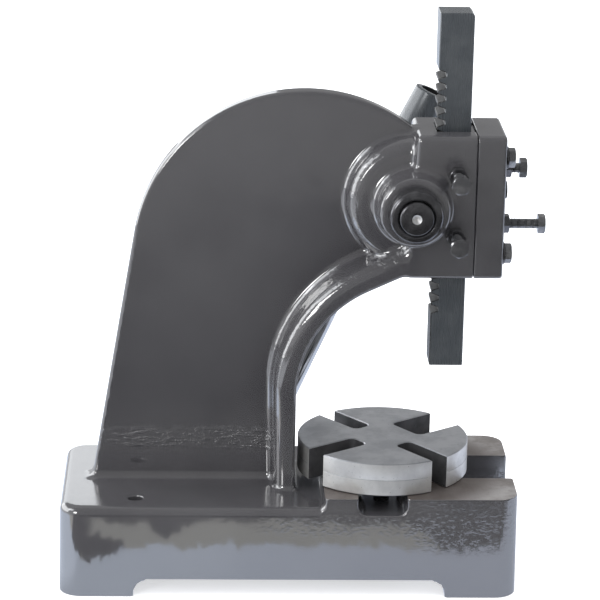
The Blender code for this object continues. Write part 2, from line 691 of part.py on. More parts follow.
def build_ram(ram_axis):
    mesh = slab(ram_outline(), -RAM_HALF, RAM_HALF)
    place("ram", mesh, ram_axis, turn=TO_NEAR, material=RAM_STEEL)


def pinion_outline():
    """Involute teeth. A tooth points into the rack gap that rests nearest above the pinion's height."""
    base = PITCH_RADIUS * math.cos(PRESSURE_ANGLE)
    inverse = math.tan(PRESSURE_ANGLE) - PRESSURE_ANGLE
    thickness = RACK_PITCH / 2 + 2 * PINION_SHIFT * math.tan(PRESSURE_ANGLE) - PINION_BACKLASH
    at_pitch = thickness / (2 * PITCH_RADIUS) + inverse
    radii = [PINION_ROOT] + [base + (PINION_TIP - base) * i / ARC_STEPS for i in range(ARC_STEPS + 1)]

    def half_angle(radius):
        pressure = math.acos(min(base / radius, 1))
        return at_pitch - (math.tan(pressure) - pressure)

    top_gap = RAM_REST_HEIGHT + RACK_TOP_GAP
    gaps_down = math.floor((top_gap - PINION_HEIGHT) / RACK_PITCH)
    phase = (top_gap - gaps_down * RACK_PITCH - PINION_HEIGHT) / PITCH_RADIUS
    points = []
    for tooth in range(PINION_TEETH):
        middle = phase + math.tau * tooth / PINION_TEETH
        rising = [(radius, middle - half_angle(radius)) for radius in radii]
        falling = [(radius, 2 * middle - angle) for radius, angle in reversed(rising)]
        points += [(radius * math.cos(a), radius * math.sin(a)) for radius, a in rising + falling]
    return points


def build_pinion(pinion, cross_hole):
    """Shaft along Y: near journal with its end, teeth, wide far journal, and spigot for the hub."""
    near_end = BOSS_FACE + SEAT_GAP + COLLAR_LENGTH + SHAFT_STICK_OUT
    spigot_end = BOSS_FACE + SPIGOT_LENGTH
    chamfer = SHAFT_END_CHAMFER
    profile = [
        (0, spigot_end), (SPIGOT_RADIUS - chamfer, spigot_end), (SPIGOT_RADIUS, spigot_end - chamfer),
        (SPIGOT_RADIUS, BOSS_FACE), (FAR_JOURNAL_RADIUS, BOSS_FACE), (FAR_JOURNAL_RADIUS, GEAR_HALF_WIDTH),
        (NEAR_JOURNAL_RADIUS, GEAR_HALF_WIDTH), (NEAR_JOURNAL_RADIUS, -near_end + chamfer),
        (NEAR_JOURNAL_RADIUS - chamfer, -near_end), (0, -near_end),
    ]
    shaft = place("pinion_shaft", turned(profile), pinion, turn=TO_FAR, material=BLACK_STEEL)
    gear = slab(pinion_outline(), -GEAR_HALF_WIDTH - SINK, GEAR_HALF_WIDTH)
    join(shaft, place("teeth", gear, pinion, turn=TO_NEAR))
    cut(shaft, cross_hole)


def build_collar(pinion):
    bore = NEAR_JOURNAL_RADIUS + SEAT_GAP
    low = BOSS_FACE + SEAT_GAP
    high = low + COLLAR_LENGTH
    corner = arc((COLLAR_RADIUS - COLLAR_ROUND, high - COLLAR_ROUND), COLLAR_ROUND, 90, 0, SMALL_ARC_STEPS)
    ring = [(bore, high), *corner, (COLLAR_RADIUS, low), (bore, low)]
    collar = place("shaft_collar", turned(ring, ring=True), pinion, turn=TO_NEAR, material=BLACK_STEEL)
    spot = (0, -low - (COLLAR_LENGTH - COLLAR_ROUND) / 2, 0)
    drill = cylinder(SET_SCREW_RADIUS + SCREW_HOLE_GAP, 0, COLLAR_RADIUS + CUT_OVERRUN)
    cut(collar, place("set_screw_hole", drill, pinion, spot, TO_LEFT))
    screw = cylinder(SET_SCREW_RADIUS, bore, COLLAR_RADIUS - SET_SCREW_INSET)
    place("collar_set_screw", screw, pinion, spot, TO_LEFT, BLACK_STEEL)


def cross_pin_hole(lever, half_length):
    spot = (LEVER_OFFSET, NECK_START + CROSS_PIN_FROM_FACE - LEVER_PLANE, 0)
    drill = cylinder(CROSS_PIN_RADIUS + SEAT_GAP, -half_length, half_length)
    return place("cross_hole", drill, lever, spot, TO_FRONT)


def build_hub(lever, cross_hole):
    """Sleeve for the bar along the lever's own Z, with a neck that reaches over the shaft's spigot."""
    half = SLEEVE_HALF_LENGTH
    mouth = SLEEVE_RADIUS - SLEEVE_MOUTH_TAPER
    straight = half - SLEEVE_TAPER_LENGTH
    profile = [(0, half), (mouth, half), (SLEEVE_RADIUS, straight), (SLEEVE_RADIUS, -straight),
               (mouth, -half), (0, -half)]
    hub = place("lever_hub", turned(profile), lever, material=BLACK_STEEL)
    start = NECK_START - LEVER_PLANE
    axis = (LEVER_OFFSET, 0, 0)
    join(hub, place("neck", cylinder(NECK_RADIUS, start, -BAR_RADIUS / 2, ROUND_STEPS), lever, axis, TO_FAR))
    socket_end = BOSS_FACE + SPIGOT_LENGTH + SEAT_GAP - LEVER_PLANE
    socket = cylinder(SPIGOT_RADIUS + SEAT_GAP, start - CUT_OVERRUN, socket_end, ROUND_STEPS)
    bore = cylinder(BAR_RADIUS + RUNNING_GAP, -half - CUT_OVERRUN, half + CUT_OVERRUN, ROUND_STEPS)
    drill = cylinder(SCREW_RADIUS + SCREW_HOLE_GAP, 0, SLEEVE_RADIUS + CUT_OVERRUN)
    cut(hub, place("socket", socket, lever, axis, TO_FAR), place("bar_bore", bore, lever),
        place("lock_hole", drill, lever, (0, 0, LOCK_SCREW_UP), TO_FAR), cross_hole)
    pin_half = NECK_RADIUS - CROSS_PIN_INSET
    pin = cylinder(CROSS_PIN_RADIUS, -pin_half, pin_half)
    place("hub_cross_pin", pin, lever, cross_hole.location, TO_FRONT, BLACK_STEEL)
    head = SLEEVE_RADIUS + LOCK_SCREW_STAND_OFF
    hex_screw("lever_lock_screw", lever, (0, 0, LOCK_SCREW_UP), TO_FAR, (head, head + GIB_SCREW_HEAD),
              BAR_RADIUS + SEAT_GAP, 0)


def build_bar(lever):
    stud_end = -BAR_DOWN - BAR_STUD_LENGTH
    profile = [(0, BAR_UP), (BAR_RADIUS - BAR_CHAMFER, BAR_UP), (BAR_RADIUS, BAR_UP - BAR_CHAMFER),
               (BAR_RADIUS, -BAR_DOWN), (BAR_STUD_RADIUS, -BAR_DOWN), (BAR_STUD_RADIUS, stud_end),
               (0, stud_end)]
    place("lever_bar", turned(profile), lever, material=BRIGHT_STEEL)
    top = -BAR_DOWN - SEAT_GAP
    bottom = top - KNOB_LENGTH
    bore = BAR_STUD_RADIUS + SEAT_GAP
    centre = bottom + KNOB_RADIUS
    ball = arc((0, centre), KNOB_RADIUS, 30, -90, WIDE_ARC_STEPS)
    hole_end = stud_end - SEAT_GAP
    knob = [(0, hole_end), (bore, hole_end), (bore, top), (KNOB_NECK_RADIUS, top), *ball[:-1], (0, bottom)]
    place("lever_knob", turned(knob), lever, material=BLACK_PLASTIC)


def plate_outline():
    """Disc seen from above with four slots of unlike width, each with rounded inner corners."""
    points = []
    rims = []
    for angle, width in zip(PLATE_SLOT_ANGLES, PLATE_SLOT_WIDTHS):
        half = math.degrees(math.asin(width / 2 / PLATE_RADIUS))
        rims.append((angle - half, angle + half))
    for number, (angle, width) in enumerate(zip(PLATE_SLOT_ANGLES, PLATE_SLOT_WIDTHS)):
        corner = min(PLATE_SLOT_CORNER, width / 2)
        side = width / 2 - corner
        root = PLATE_SLOT_ROOT + corner
        local = [*arc((root, -side), corner, 270, 180), *arc((root, side), corner, 180, 90)]
        turn = Matrix.Rotation(math.radians(angle), 2)
        points += arc((0, 0), PLATE_RADIUS, rims[number][0], rims[number][0], 1)[:1]
        points += [tuple(turn @ Vector(point)) for point in local]
        following = rims[(number + 1) % len(rims)][0]
        sweep = (following - rims[number][1]) % 360
        points += arc((0, 0), PLATE_RADIUS, rims[number][1], rims[number][1] + sweep, WIDE_ARC_STEPS)[:-1]
    return points


def build_table(root, table):
    plate = place("table_plate", slab(plate_outline(), PLATE_BOTTOM, PLATE_BOTTOM + PLATE_THICKNESS), table,
                  material=CAST_STEEL)
    pin_bottom = GROOVE_FLOOR - TABLE_PIN_DEPTH + SEAT_GAP
    pin_top = GROOVE_FLOOR + TABLE_PIN_UP
    chamfer = TABLE_PIN_CHAMFER
    radius = TABLE_PIN_RADIUS
    hole = cylinder(radius + RUNNING_GAP, PLATE_BOTTOM - CUT_OVERRUN, pin_top + RUNNING_GAP)
    cut(plate, place("plate_hole", hole, table))
    profile = [(0, pin_top), (radius - chamfer, pin_top), (radius, pin_top - chamfer), (radius, pin_bottom),
               (0, pin_bottom)]
    pin = turned(profile, SMALL_ROUND_STEPS)
    place("table_pin", pin, root, (-PLATE_LEFT, 0, 0), material=BLACK_STEEL)


def build_press():
    middle = ((BASE_LEFT - PRESS_FRONT) / 2, (BASE_HALF_WIDTH - PRESS_FAR) / 2, 0)
    root = empty("press", middle)
    ram_axis = empty("ram_axis", (0, 0, RAM_REST_HEIGHT), root)
    pinion = empty("pinion_axis", (-PINION_LEFT, 0, PINION_HEIGHT), root)
    aside = Vector((-LEVER_OFFSET * math.cos(LEVER_TILT), LEVER_PLANE, LEVER_OFFSET * math.sin(LEVER_TILT)))
    lever = empty("lever_axis", aside, pinion, LEVER_TILT)
    table = empty("table_axis", (-PLATE_LEFT, 0, 0), root)
    build_frame(root, pinion)
    build_cap(root)
    build_cap_screws(root)
    build_gib_screws(root)
    build_gibs(root)
    build_ram(ram_axis)
    cross_hole = cross_pin_hole(lever, NECK_RADIUS + CUT_OVERRUN)
    build_pinion(pinion, cross_hole)
    build_collar(pinion)
    build_hub(lever, cross_hole)
    build_bar(lever)
    build_table(root, table)


build_press()
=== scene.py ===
import json
import math
from itertools import product

import bmesh
import bpy
import numpy as np
from mathutils import Matrix, Vector

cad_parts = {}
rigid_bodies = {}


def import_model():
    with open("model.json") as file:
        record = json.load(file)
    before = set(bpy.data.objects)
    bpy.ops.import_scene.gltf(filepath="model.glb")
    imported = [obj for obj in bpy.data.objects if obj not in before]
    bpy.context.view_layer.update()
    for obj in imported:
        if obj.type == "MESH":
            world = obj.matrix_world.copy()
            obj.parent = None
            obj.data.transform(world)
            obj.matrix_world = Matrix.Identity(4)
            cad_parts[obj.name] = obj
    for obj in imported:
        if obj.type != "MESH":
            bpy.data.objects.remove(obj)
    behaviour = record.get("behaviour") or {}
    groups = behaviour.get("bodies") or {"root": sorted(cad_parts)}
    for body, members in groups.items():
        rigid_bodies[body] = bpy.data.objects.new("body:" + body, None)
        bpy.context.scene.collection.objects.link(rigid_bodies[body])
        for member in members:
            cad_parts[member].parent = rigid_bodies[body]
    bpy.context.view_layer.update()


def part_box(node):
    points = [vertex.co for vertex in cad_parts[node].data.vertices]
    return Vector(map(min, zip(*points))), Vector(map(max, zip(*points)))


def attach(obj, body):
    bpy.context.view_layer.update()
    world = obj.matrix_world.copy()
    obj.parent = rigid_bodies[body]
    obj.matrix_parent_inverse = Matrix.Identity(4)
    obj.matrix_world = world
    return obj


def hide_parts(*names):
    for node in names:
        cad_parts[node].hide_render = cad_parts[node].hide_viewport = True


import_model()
mm = 0.001
rad = math.radians

# The ram's own axis is the zero of every size below, and the feet stand on zero height.
ramLow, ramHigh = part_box("ram")
pressZero = Vector(((ramLow.x + ramHigh.x) / 2, (ramLow.y + ramHigh.y) / 2, 0))
# In millimetres: the pinion's axis lies this far to the left of the ram and this high, the table's pin this far left.
pinionLeft, pinionHeight = 29.462, 294
plateLeft = 45.35
pinionSpot = Vector((-pinionLeft * mm, 0, pinionHeight * mm)) + pressZero
press = {
    "base": {"left": 291, "right": 54.5, "halfWidth": 72, "corner": 17, "top": 70.4, "edge": 6.2,
             "padTop": 78.5, "padLeft": 92, "padEdge": 1.5, "padStep": 1.2, "padRun": 9, "draft": 0.011},
    "arch": {"left": 235, "right": 0, "height": 12.6, "corner": 10.5, "lip": 1.2},
    "pocket": {"wall": 16, "right": 30.1, "roof": 46, "corner": 10, "roofCorner": 6, "lip": 1.5},
    "groove": {"left": 66.7, "right": 30.1, "floor": 65.2, "corner": 7.5, "lip": 1.8},
    "slot": {"halfWidth": 24.66, "centre": 2, "lip": 1},
    "web": {"half": 7, "round": 2.6, "foot": 60, "left": 108.8, "height": 246.3, "radius": 128.7, "lean": 9.26,
            "behindThroat": 4, "intoHead": 12},
    "throat": {"left": 21.93, "height": 145.2, "radius": 91.58, "straight": 25, "straightLength": 30},
    "flange": {"half": 32.7, "foot": 14.2, "head": 17.5, "footDraft": 3.4, "headDraft": 5.5, "throatEdge": 3.2,
               "outerEdge": 7.5, "rimWidth": 5, "bottom": 56, "endEdge": 5},
    "head": {"left": 31, "lean": 0.055, "front": 16.35, "bottom": 239.3, "top": 348, "half": 33,
             "topEdge": 4.8, "bottomEdge": 3, "leftEdge": 4, "frontEdge": 1.1},
    "plateau": {"radius": 48.2, "half": 25, "draft": 0.06, "edge": 10.5, "crown": 0.01},
    "nearBoss": {"radius": 26, "face": 50, "edge": 3.4, "draft": 0.09},
    "farBoss": {"radius": 31, "face": 50, "edge": 1.8, "draft": 0.04},
    "fillets": {"pad": 5, "web": 6.5, "flange": 4.5, "plateau": 4.5, "head": 5, "boss": 5},
}


# Meshes

def linked(name, data):
    made = bpy.data.objects.new(name, data)
    bpy.context.scene.collection.objects.link(made)
    return made


def meshObject(name, points, faces):
    mesh = bpy.data.meshes.new(name)
    mesh.from_pydata([tuple(point) for point in points], [], faces)
    mesh.update()
    return linked(name, mesh)


def evaluated(obj, name):
    # what the modifiers give becomes a plain mesh of its own
    graph = bpy.context.evaluated_depsgraph_get()
    mesh = bpy.data.meshes.new_from_object(obj.evaluated_get(graph))
    mesh.transform(obj.matrix_world)
    made = linked(name, mesh)
    bpy.data.objects.remove(obj)
    return made


def joined(name, objects):
    # several meshes become one, with their materials kept
    meshes = [obj.data for obj in objects]
    materials = []
    builder = bmesh.new()
    for mesh in meshes:
        slots = []
        for material in mesh.materials:
            if material not in materials:
                materials.append(material)
            slots.append(materials.index(material))
        before = len(builder.faces)
        builder.from_mesh(mesh)
        builder.faces.ensure_lookup_table()
        for face in builder.faces[before:]:
            face.material_index = slots[face.material_index] if slots else 0
    whole = bpy.data.meshes.new(name)
    builder.to_mesh(whole)
    builder.free()
    for material in materials:
        whole.materials.append(material)
    for obj in objects:
        bpy.data.objects.remove(obj)
    return linked(name, whole)


def smoothShaded(obj, angle=32):
    obj.data.shade_smooth()
    obj.data.set_sharp_from_angle(angle=rad(angle))


def placed(obj, matrix):
    obj.data.transform(matrix)
    return obj


def dressed(obj, body, material, slot, *nodes, smooth=32):
    # the last step of every piece: its finish, its shading, its body and the CAD nodes it stands for
    if material:
        obj.data.materials.clear()
        obj.data.materials.append(material)
    if smooth:
        smoothShaded(obj, smooth)
    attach(obj, body)
    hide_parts(*nodes)
    return obj


def arcPoints(centre, radius, start, end, steps):
    angles = [rad(start + (end - start) * i / steps) for i in range(steps + 1)]
    return [(centre[0] + radius * math.cos(a), centre[1] + radius * math.sin(a)) for a in angles]


def rounded(points, radii, closed=True, steps=4):
    # each corner of the outline gets its own radius
    made = []
    count = len(points)
    for i, (point, radius) in enumerate(zip(points, radii)):
        here = Vector(point)
        if not radius or (not closed and i in (0, count - 1)):
            made.append(tuple(here))
            continue
        back = (Vector(points[i - 1]) - here).normalized()
        ahead = (Vector(points[(i + 1) % count]) - here).normalized()
        half = back.angle(ahead) / 2
        reach = radius / math.tan(half)
        centre = here + (back + ahead).normalized() * radius / math.sin(half)
        start = here + back * reach - centre
        end = here + ahead * reach - centre
        turn = start.angle_signed(end)
        for step in range(steps + 1):
            angle = -turn * step / steps
            made.append(tuple(centre + Matrix.Rotation(angle, 2) @ start))
    return made


def outward(obj):
    builder = bmesh.new()
    builder.from_mesh(obj.data)
    bmesh.ops.recalc_face_normals(builder, faces=builder.faces)
    builder.to_mesh(obj.data)
    builder.free()
    return obj


def revolved(name, profile, steps=64, closed=False):
    # profile of (radius, height) points about Z, poles closed
    points = []
    rings = []
    for radius, height in profile:
        pole = radius < 1e-7
        angles = [0] if pole else [math.tau * i / steps for i in range(steps)]
        rings.append([len(points) + i for i in range(len(angles))])
        points += [(radius * math.cos(a), radius * math.sin(a), height) for a in angles]
    faces = []
    pairs = list(zip(rings, rings[1:]))
    if closed:
        pairs.append((rings[-1], rings[0]))
    for one, other in pairs:
        if len(one) == len(other) == 1:
            continue
        for i in range(steps):
            j = (i + 1) % steps
            if len(one) == 1:
                faces.append((one[0], other[i], other[j]))
            elif len(other) == 1:
                faces.append((one[i], other[0], one[j]))
            else:
                faces.append((one[i], other[i], other[j], one[j]))
    return outward(meshObject(name, points, faces))


def inset(points, amounts):
    # moves each point of a closed outline inwards, along the halved angle of its two sides
    count = len(points)
    area = sum(points[i - 1][0] * points[i][1] - points[i][0] * points[i - 1][1] for i in range(count))
    sign = 1 if area > 0 else -1
    made = []
    for i, amount in enumerate(amounts):
        here = Vector(points[i])
        first = (here - Vector(points[i - 1])).normalized()
        second = (Vector(points[(i + 1) % count]) - here).normalized()
        normal = Vector((-first.y - second.y, first.x + second.x))
        normal.normalize()
        lean = max(0.35, abs(normal.dot(Vector((-first.y, first.x)))))
        made.append(tuple(here + normal * sign * amount / lean))
    return made


def layered(name, points, levels):
    # outline given at several heights, each with its own inset: levels are (height, amount or list of amounts)
    count = len(points)
    made = []
    for height, amount in levels:
        amounts = amount if isinstance(amount, list) else [amount] * count
        made += [(x, y, height) for x, y in inset(points, amounts)]
    faces = []
    for level in range(len(levels) - 1):
        for i in range(count):
            j = (i + 1) % count
            a, b = level * count, (level + 1) * count
            faces.append((a + i, a + j, b + j, b + i))
    faces.append(tuple(range(count)))
    faces.append(tuple(range((len(levels) - 1) * count, len(levels) * count)))
    return outward(meshObject(name, made, faces))


def boxObject(name, low, high):
    builder = bmesh.new()
    bmesh.ops.create_cube(builder, size=1)
    size = Vector(high) - Vector(low)
    middle = (Vector(high) + Vector(low)) / 2
    bmesh.ops.transform(builder, matrix=Matrix.LocRotScale(middle, None, size), verts=builder.verts)
    mesh = bpy.data.meshes.new(name)
    builder.to_mesh(mesh)
    builder.free()
    return linked(name, mesh)


toFront = Matrix(((0, 0, 1), (1, 0, 0), (0, 1, 0))).to_4x4()
toNear = Matrix.Rotation(math.pi / 2, 4, "X")
toFar = Matrix.Rotation(-math.pi / 2, 4, "X")
toLeft = Matrix.Rotation(-math.pi / 2, 4, "Y")
upright = Matrix.Identity(4)


def shifted(x, y, z):
    return Matrix.Translation((x * mm, y * mm, z * mm))


def scaled(points):
    # outlines and places are written in millimetres, and the meshes are made in metres
    return [tuple(value * mm for value in point) for point in points]


def outlined(points, radii, closed=True, steps=4):
    return rounded(scaled(points), [radius * mm for radius in radii], closed, steps)


def drill(radius, start, end, turn, spot=(0, 0, 0), finish=None, steps=48):
    made = revolved("drill", scaled([(0, end), (radius, end), (radius, start), (0, start)]), steps)
    if finish:
        made.data.materials.append(finish)
    return placed(made, shifted(*spot) @ turn)


def box(name, low, high, finish=None):
    made = boxObject(name, *scaled([low, high]))
    if finish:
        made.data.materials.append(finish)
    return made


def cutAway(obj, cutters, name):
    # all the machined cuts at once: a cut face keeps its cutter's material
    tools = bpy.data.collections.new("tools")
    for cutter in cutters:
        for owner in cutter.users_collection:
            owner.objects.unlink(cutter)
        tools.objects.link(cutter)
    modifier = obj.modifiers.new("machining", "BOOLEAN")
    modifier.operation = "DIFFERENCE"
    modifier.solver = "EXACT"
    modifier.operand_type = "COLLECTION"
    modifier.collection = tools
    modifier.material_mode = "TRANSFER"
    made = evaluated(obj, name)
    for cutter in list(tools.objects):
        bpy.data.objects.remove(cutter)
    bpy.data.collections.remove(tools)
    return made


# Castings, made from distance fields so that every join has its fillet

def roundUnion(a, b, radius):
    u = np.maximum(radius - a, 0)
    v = np.maximum(radius - b, 0)
    return np.maximum(radius, np.minimum(a, b)) - np.sqrt(u * u + v * v)


def roundMeet(a, b, radius):
    u = np.maximum(radius + a, 0)
    v = np.maximum(radius + b, 0)
    return np.minimum(-radius, np.maximum(a, b)) + np.sqrt(u * u + v * v)


def roundCut(a, b, radius):
    return roundMeet(a, -b, radius)


def planDistance(x, y, left, right, half, corner):
    u = np.abs(x - (right + left) / 2) - ((right - left) / 2 - corner)
    v = np.abs(y) - (half - corner)
    return np.hypot(np.maximum(u, 0), np.maximum(v, 0)) + np.minimum(np.maximum(u, v), 0) - corner


def crossCut(x, depth, c):
    # a channel across the base, open to both of its sides
    middle, half = (c["left"] + c["right"]) / 2, (c["left"] - c["right"]) / 2
    return roundMeet(np.abs(x + middle) - half, depth, c["corner"])


def baseField(x, y, z):
    # low body, raised pad, foot arch, hollow underside, cross groove and the open slot, in millimetres
    c = press["base"]
    shrink = c["draft"] * np.clip(z, 0, c["padTop"])
    plan = planDistance(x, y, -c["left"], c["right"], c["halfWidth"], c["corner"]) + shrink
    pad = roundMeet(-c["padLeft"] - x, z - c["padTop"] - 1, c["padStep"])
    profile = roundUnion(z - c["top"], pad, press["fillets"]["pad"])
    share = np.clip((x + c["padLeft"] + c["padRun"] / 2) / c["padRun"], 0, 1)
    share = share * share * (3 - 2 * share)
    body = roundMeet(plan, profile, c["edge"] + (c["padEdge"] - c["edge"]) * share)
    a = press["arch"]
    body = roundCut(body, crossCut(x, z - a["height"], a), a["lip"])
    p = press["pocket"]
    pocketPlan = planDistance(x, y, -c["left"] + p["wall"], -p["right"], c["halfWidth"] - p["wall"], p["corner"])
    body = roundCut(body, roundMeet(pocketPlan, z - p["roof"], p["roofCorner"]), p["lip"])
    g = press["groove"]
    body = roundCut(body, crossCut(x, g["floor"] - z, g), g["lip"])
    s = press["slot"]
    ahead = x - s["centre"]
    slot = np.where(ahead > 0, np.abs(y), np.hypot(ahead, y)) - s["halfWidth"]
    return roundCut(body, slot, s["lip"])


def webField(x, z, side, edge):
    # the upright plate: round crown, leaning back edge
    w = press["web"]
    lean = math.pi - rad(w["lean"])
    out = (math.cos(lean), math.sin(lean))
    u, v = x + w["left"], z - w["height"]
    down = u * -out[1] + v * out[0]
    outline = np.where(down > 0, u * out[0] + v * out[1], np.hypot(u, v)) - w["radius"]
    outline = np.maximum(outline, w["behindThroat"] - edge)
    outline = np.maximum(outline, x + press["head"]["left"] - w["intoHead"])
    outline = np.maximum(outline, w["foot"] - z)
    return roundMeet(outline, side - w["half"], w["round"])


def throatPlace(x, z):
    # distance behind the throat's edge, and the share of the way from its foot to the head
    t = press["throat"]
    turn = rad(90 + t["straight"])
    out = (math.cos(turn), math.sin(turn))
    along = (out[1], -out[0])
    u, v = x + t["left"], z - t["height"]
    ahead = u * along[0] + v * along[1]
    straight = u * out[0] + v * out[1]
    bend = np.where(v < 0, -u, np.where(ahead > 0, straight, np.hypot(u, v)))
    footLength = t["height"] - press["base"]["top"]
    bendLength = t["radius"] * (math.pi - turn)
    upper = np.where(ahead > 0, bendLength + ahead, t["radius"] * np.arctan2(v, -u))
    length = footLength + np.where(v < 0, v, upper)
    headLength = footLength + bendLength + t["straightLength"]
    return bend - t["radius"], np.clip(length / headLength, 0, 1)


def flangeField(x, z, side, edge, share):
    f = press["flange"]
    breadth = f["foot"] + (f["head"] - f["foot"]) * share
    draft = f["footDraft"] + (f["headDraft"] - f["footDraft"]) * share
    fall = f["half"] - f["rimWidth"]
    outer = ((edge - breadth) * fall + (side - f["half"]) * draft) / np.hypot(fall, draft)
    near = side - f["half"]
    section = roundMeet(roundMeet(-edge, near, f["throatEdge"]), outer, f["outerEdge"])
    section = np.maximum(section, f["bottom"] - z)
    return roundMeet(section, x + press["head"]["left"] + 1, f["endEdge"])


def headSection(z, side):
    h = press["head"]
    section = roundMeet(side - h["half"], z - h["top"], h["topEdge"])
    return roundMeet(section, h["bottom"] - z, h["bottomEdge"])


def headField(x, z, side):
    h = press["head"]
    section = headSection(z, side)
    left = -h["left"] + (z - (h["top"] + h["bottom"]) / 2) * h["lean"]
    section = roundMeet(section, left - x, h["leftEdge"])
    return roundMeet(section, x - h["front"] - 0.02, h["frontEdge"])


def frameField(x, y, z):
    f = press["fillets"]
    side = np.abs(y)
    edge, share = throatPlace(x, z)
    body = roundUnion(baseField(x, y, z), webField(x, z, side, edge), f["web"])
    body = roundUnion(body, flangeField(x, z, side, edge, share), f["flange"])
    out = np.hypot(x + pinionLeft, z - pinionHeight)
    p = press["plateau"]
    face = p["half"] + (p["radius"] - out) * p["crown"]
    plateau = roundMeet(out - p["radius"] - (p["half"] - side) * p["draft"], side - face, p["edge"])
    body = roundUnion(body, plateau, f["plateau"])
    body = roundUnion(body, headField(x, z, side), f["head"])
    for boss, reach in ((press["nearBoss"], -y), (press["farBoss"], y)):
        slope = out - boss["radius"] - (boss["face"] - reach) * boss["draft"]
        end = roundMeet(slope, reach - boss["face"], boss["edge"])
        body = roundUnion(body, roundMeet(end, -reach, 0.5), f["boss"])
    return body


def gradient(field, points, step=0.05):
    made = np.empty_like(points)
    for axis in range(3):
        ahead = points.copy()
        behind = points.copy()
        ahead[:, axis] += step
        behind[:, axis] -= step
        made[:, axis] = (field(*ahead.T) - field(*behind.T)) / (2 * step)
    return made


def moved(cells, axes, steps):
    made = cells.copy()
    made[:, axes] += steps
    return made


def surfaceNet(field, axes):
    # one point in every grid cell that the surface crosses, drawn onto the surface
    value = field(*np.meshgrid(*axes, indexing="ij"))
    inside = value < 0
    shape = [len(axis) - 1 for axis in axes]
    total = np.zeros(shape, np.int8)
    for starts in product((0, 1), repeat=3):
        total += inside[tuple(slice(start, start + size) for start, size in zip(starts, shape))]
    mixed = (total > 0) & (total < 8)
    number = -np.ones(shape, np.int64)
    number[mixed] = np.arange(mixed.sum())
    cells = np.argwhere(mixed)
    sums = np.zeros((len(cells), 3))
    counts = np.zeros(len(cells))
    quads = []
    for axis in range(3):
        low = [slice(None)] * 3
        high = [slice(None)] * 3
        low[axis], high[axis] = slice(None, -1), slice(1, None)
        first, second = value[tuple(low)], value[tuple(high)]
        crossing = (first < 0) != (second < 0)
        share = np.where(crossing, first / np.where(crossing, first - second, 1), 0)
        others = [other for other in range(3) if other != axis]
        for steps in product((0, 1), repeat=2):
            place = moved(cells, others, steps)
            index = tuple(place.T)
            hit = crossing[index]
            spot = np.stack([axes[each][index[each]] for each in range(3)], 1)
            spot[:, axis] += share[index] * np.diff(axes[axis])[index[axis]]
            sums += spot * hit[:, None]
            counts += hit
        edges = np.argwhere(crossing)
        keep = [(edges[:, other] > 0) & (edges[:, other] < len(axes[other]) - 1) for other in others]
        edges = edges[keep[0] & keep[1]]
        corners = [moved(edges, others, steps) for steps in ((-1, -1), (0, -1), (0, 0), (-1, 0))]
        quad = np.stack([number[tuple(corner.T)] for corner in corners], 1)
        flip = inside[tuple(edges.T)] ^ (axis == 1)
        quad[~flip] = quad[~flip][:, ::-1]
        quads.append(quad)
    points = sums / counts[:, None]
    for _ in range(4):
        slope = gradient(field, points)
        size = np.maximum((slope * slope).sum(1), 0.2)
        move = field(*points.T) / size
        points -= slope * np.clip(move, -1.2, 1.2)[:, None]
    return points, np.concatenate(quads)


def stretches(*spans):
    # grid lines along one axis: (start, end, spacing) spans that follow each other
    lines = []
    for start, end, spacing in spans:
        steps = max(1, round((end - start) / spacing))
        lines.append(np.linspace(start, end, steps, endpoint=False))
    lines.append([spans[-1][1]])
    return np.concatenate(lines)


def castMesh(name, field, axes, material):
    points, quads = surfaceNet(field, axes)
    made = meshObject(name, points * mm, quads.tolist())
    made.data.materials.append(material)
    return made


def castShading(obj, field):
    # cast faces are shaded from the field itself, and cut faces keep their own crisp shading
    mesh = obj.data
    smoothShaded(obj, 30)

    def read(items, name, kind, size=1):
        values = np.empty(len(items) * size, kind)
        items.foreach_get(name, values)
        return values.reshape(-1, size) if size > 1 else values

    normals = read(mesh.corner_normals, "vector", np.float64, 3)
    slope = gradient(field, read(mesh.vertices, "co", np.float64, 3) / mm)
    slope /= np.maximum(np.linalg.norm(slope, axis=1), 1e-9)[:, None]
    slope = slope[read(mesh.loops, "vertex_index", np.int64)]
    faceSlots = read(mesh.polygons, "material_index", np.int64)
    cast = np.repeat(faceSlots, read(mesh.polygons, "loop_total", np.int64)) == 0
    cast &= (slope * normals).sum(1) > 0.6
    normals[cast] = slope[cast]
    mesh.normals_split_custom_set(normals.tolist())


# Finishes

class Shade:
    # a socket that can be used in sums
    def __init__(self, finish, socket):
        self.finish = finish
        self.socket = socket

    def maths(self, operation, *others):
        return self.finish.node("ShaderNodeMath", {"operation": operation}, dict(enumerate((self, *others))))

    def __add__(self, other):
        return self.maths("ADD", other)

    def __mul__(self, other):
        return self.maths("MULTIPLY", other)

    def __sub__(self, other):
        return self.maths("SUBTRACT", other)

    def __rsub__(self, other):
        return (self * -1) + other

    __radd__ = __add__
    __rmul__ = __mul__

    def above(self, start, end):
        # 0 at start, 1 at end, smooth in between
        settings = {"interpolation_type": "SMOOTHSTEP"}
        return self.finish.node("ShaderNodeMapRange", settings, {"Value": self, "From Min": start, "From Max": end})


def apart(one, other):
    return (one * one + other * other).maths("SQRT")


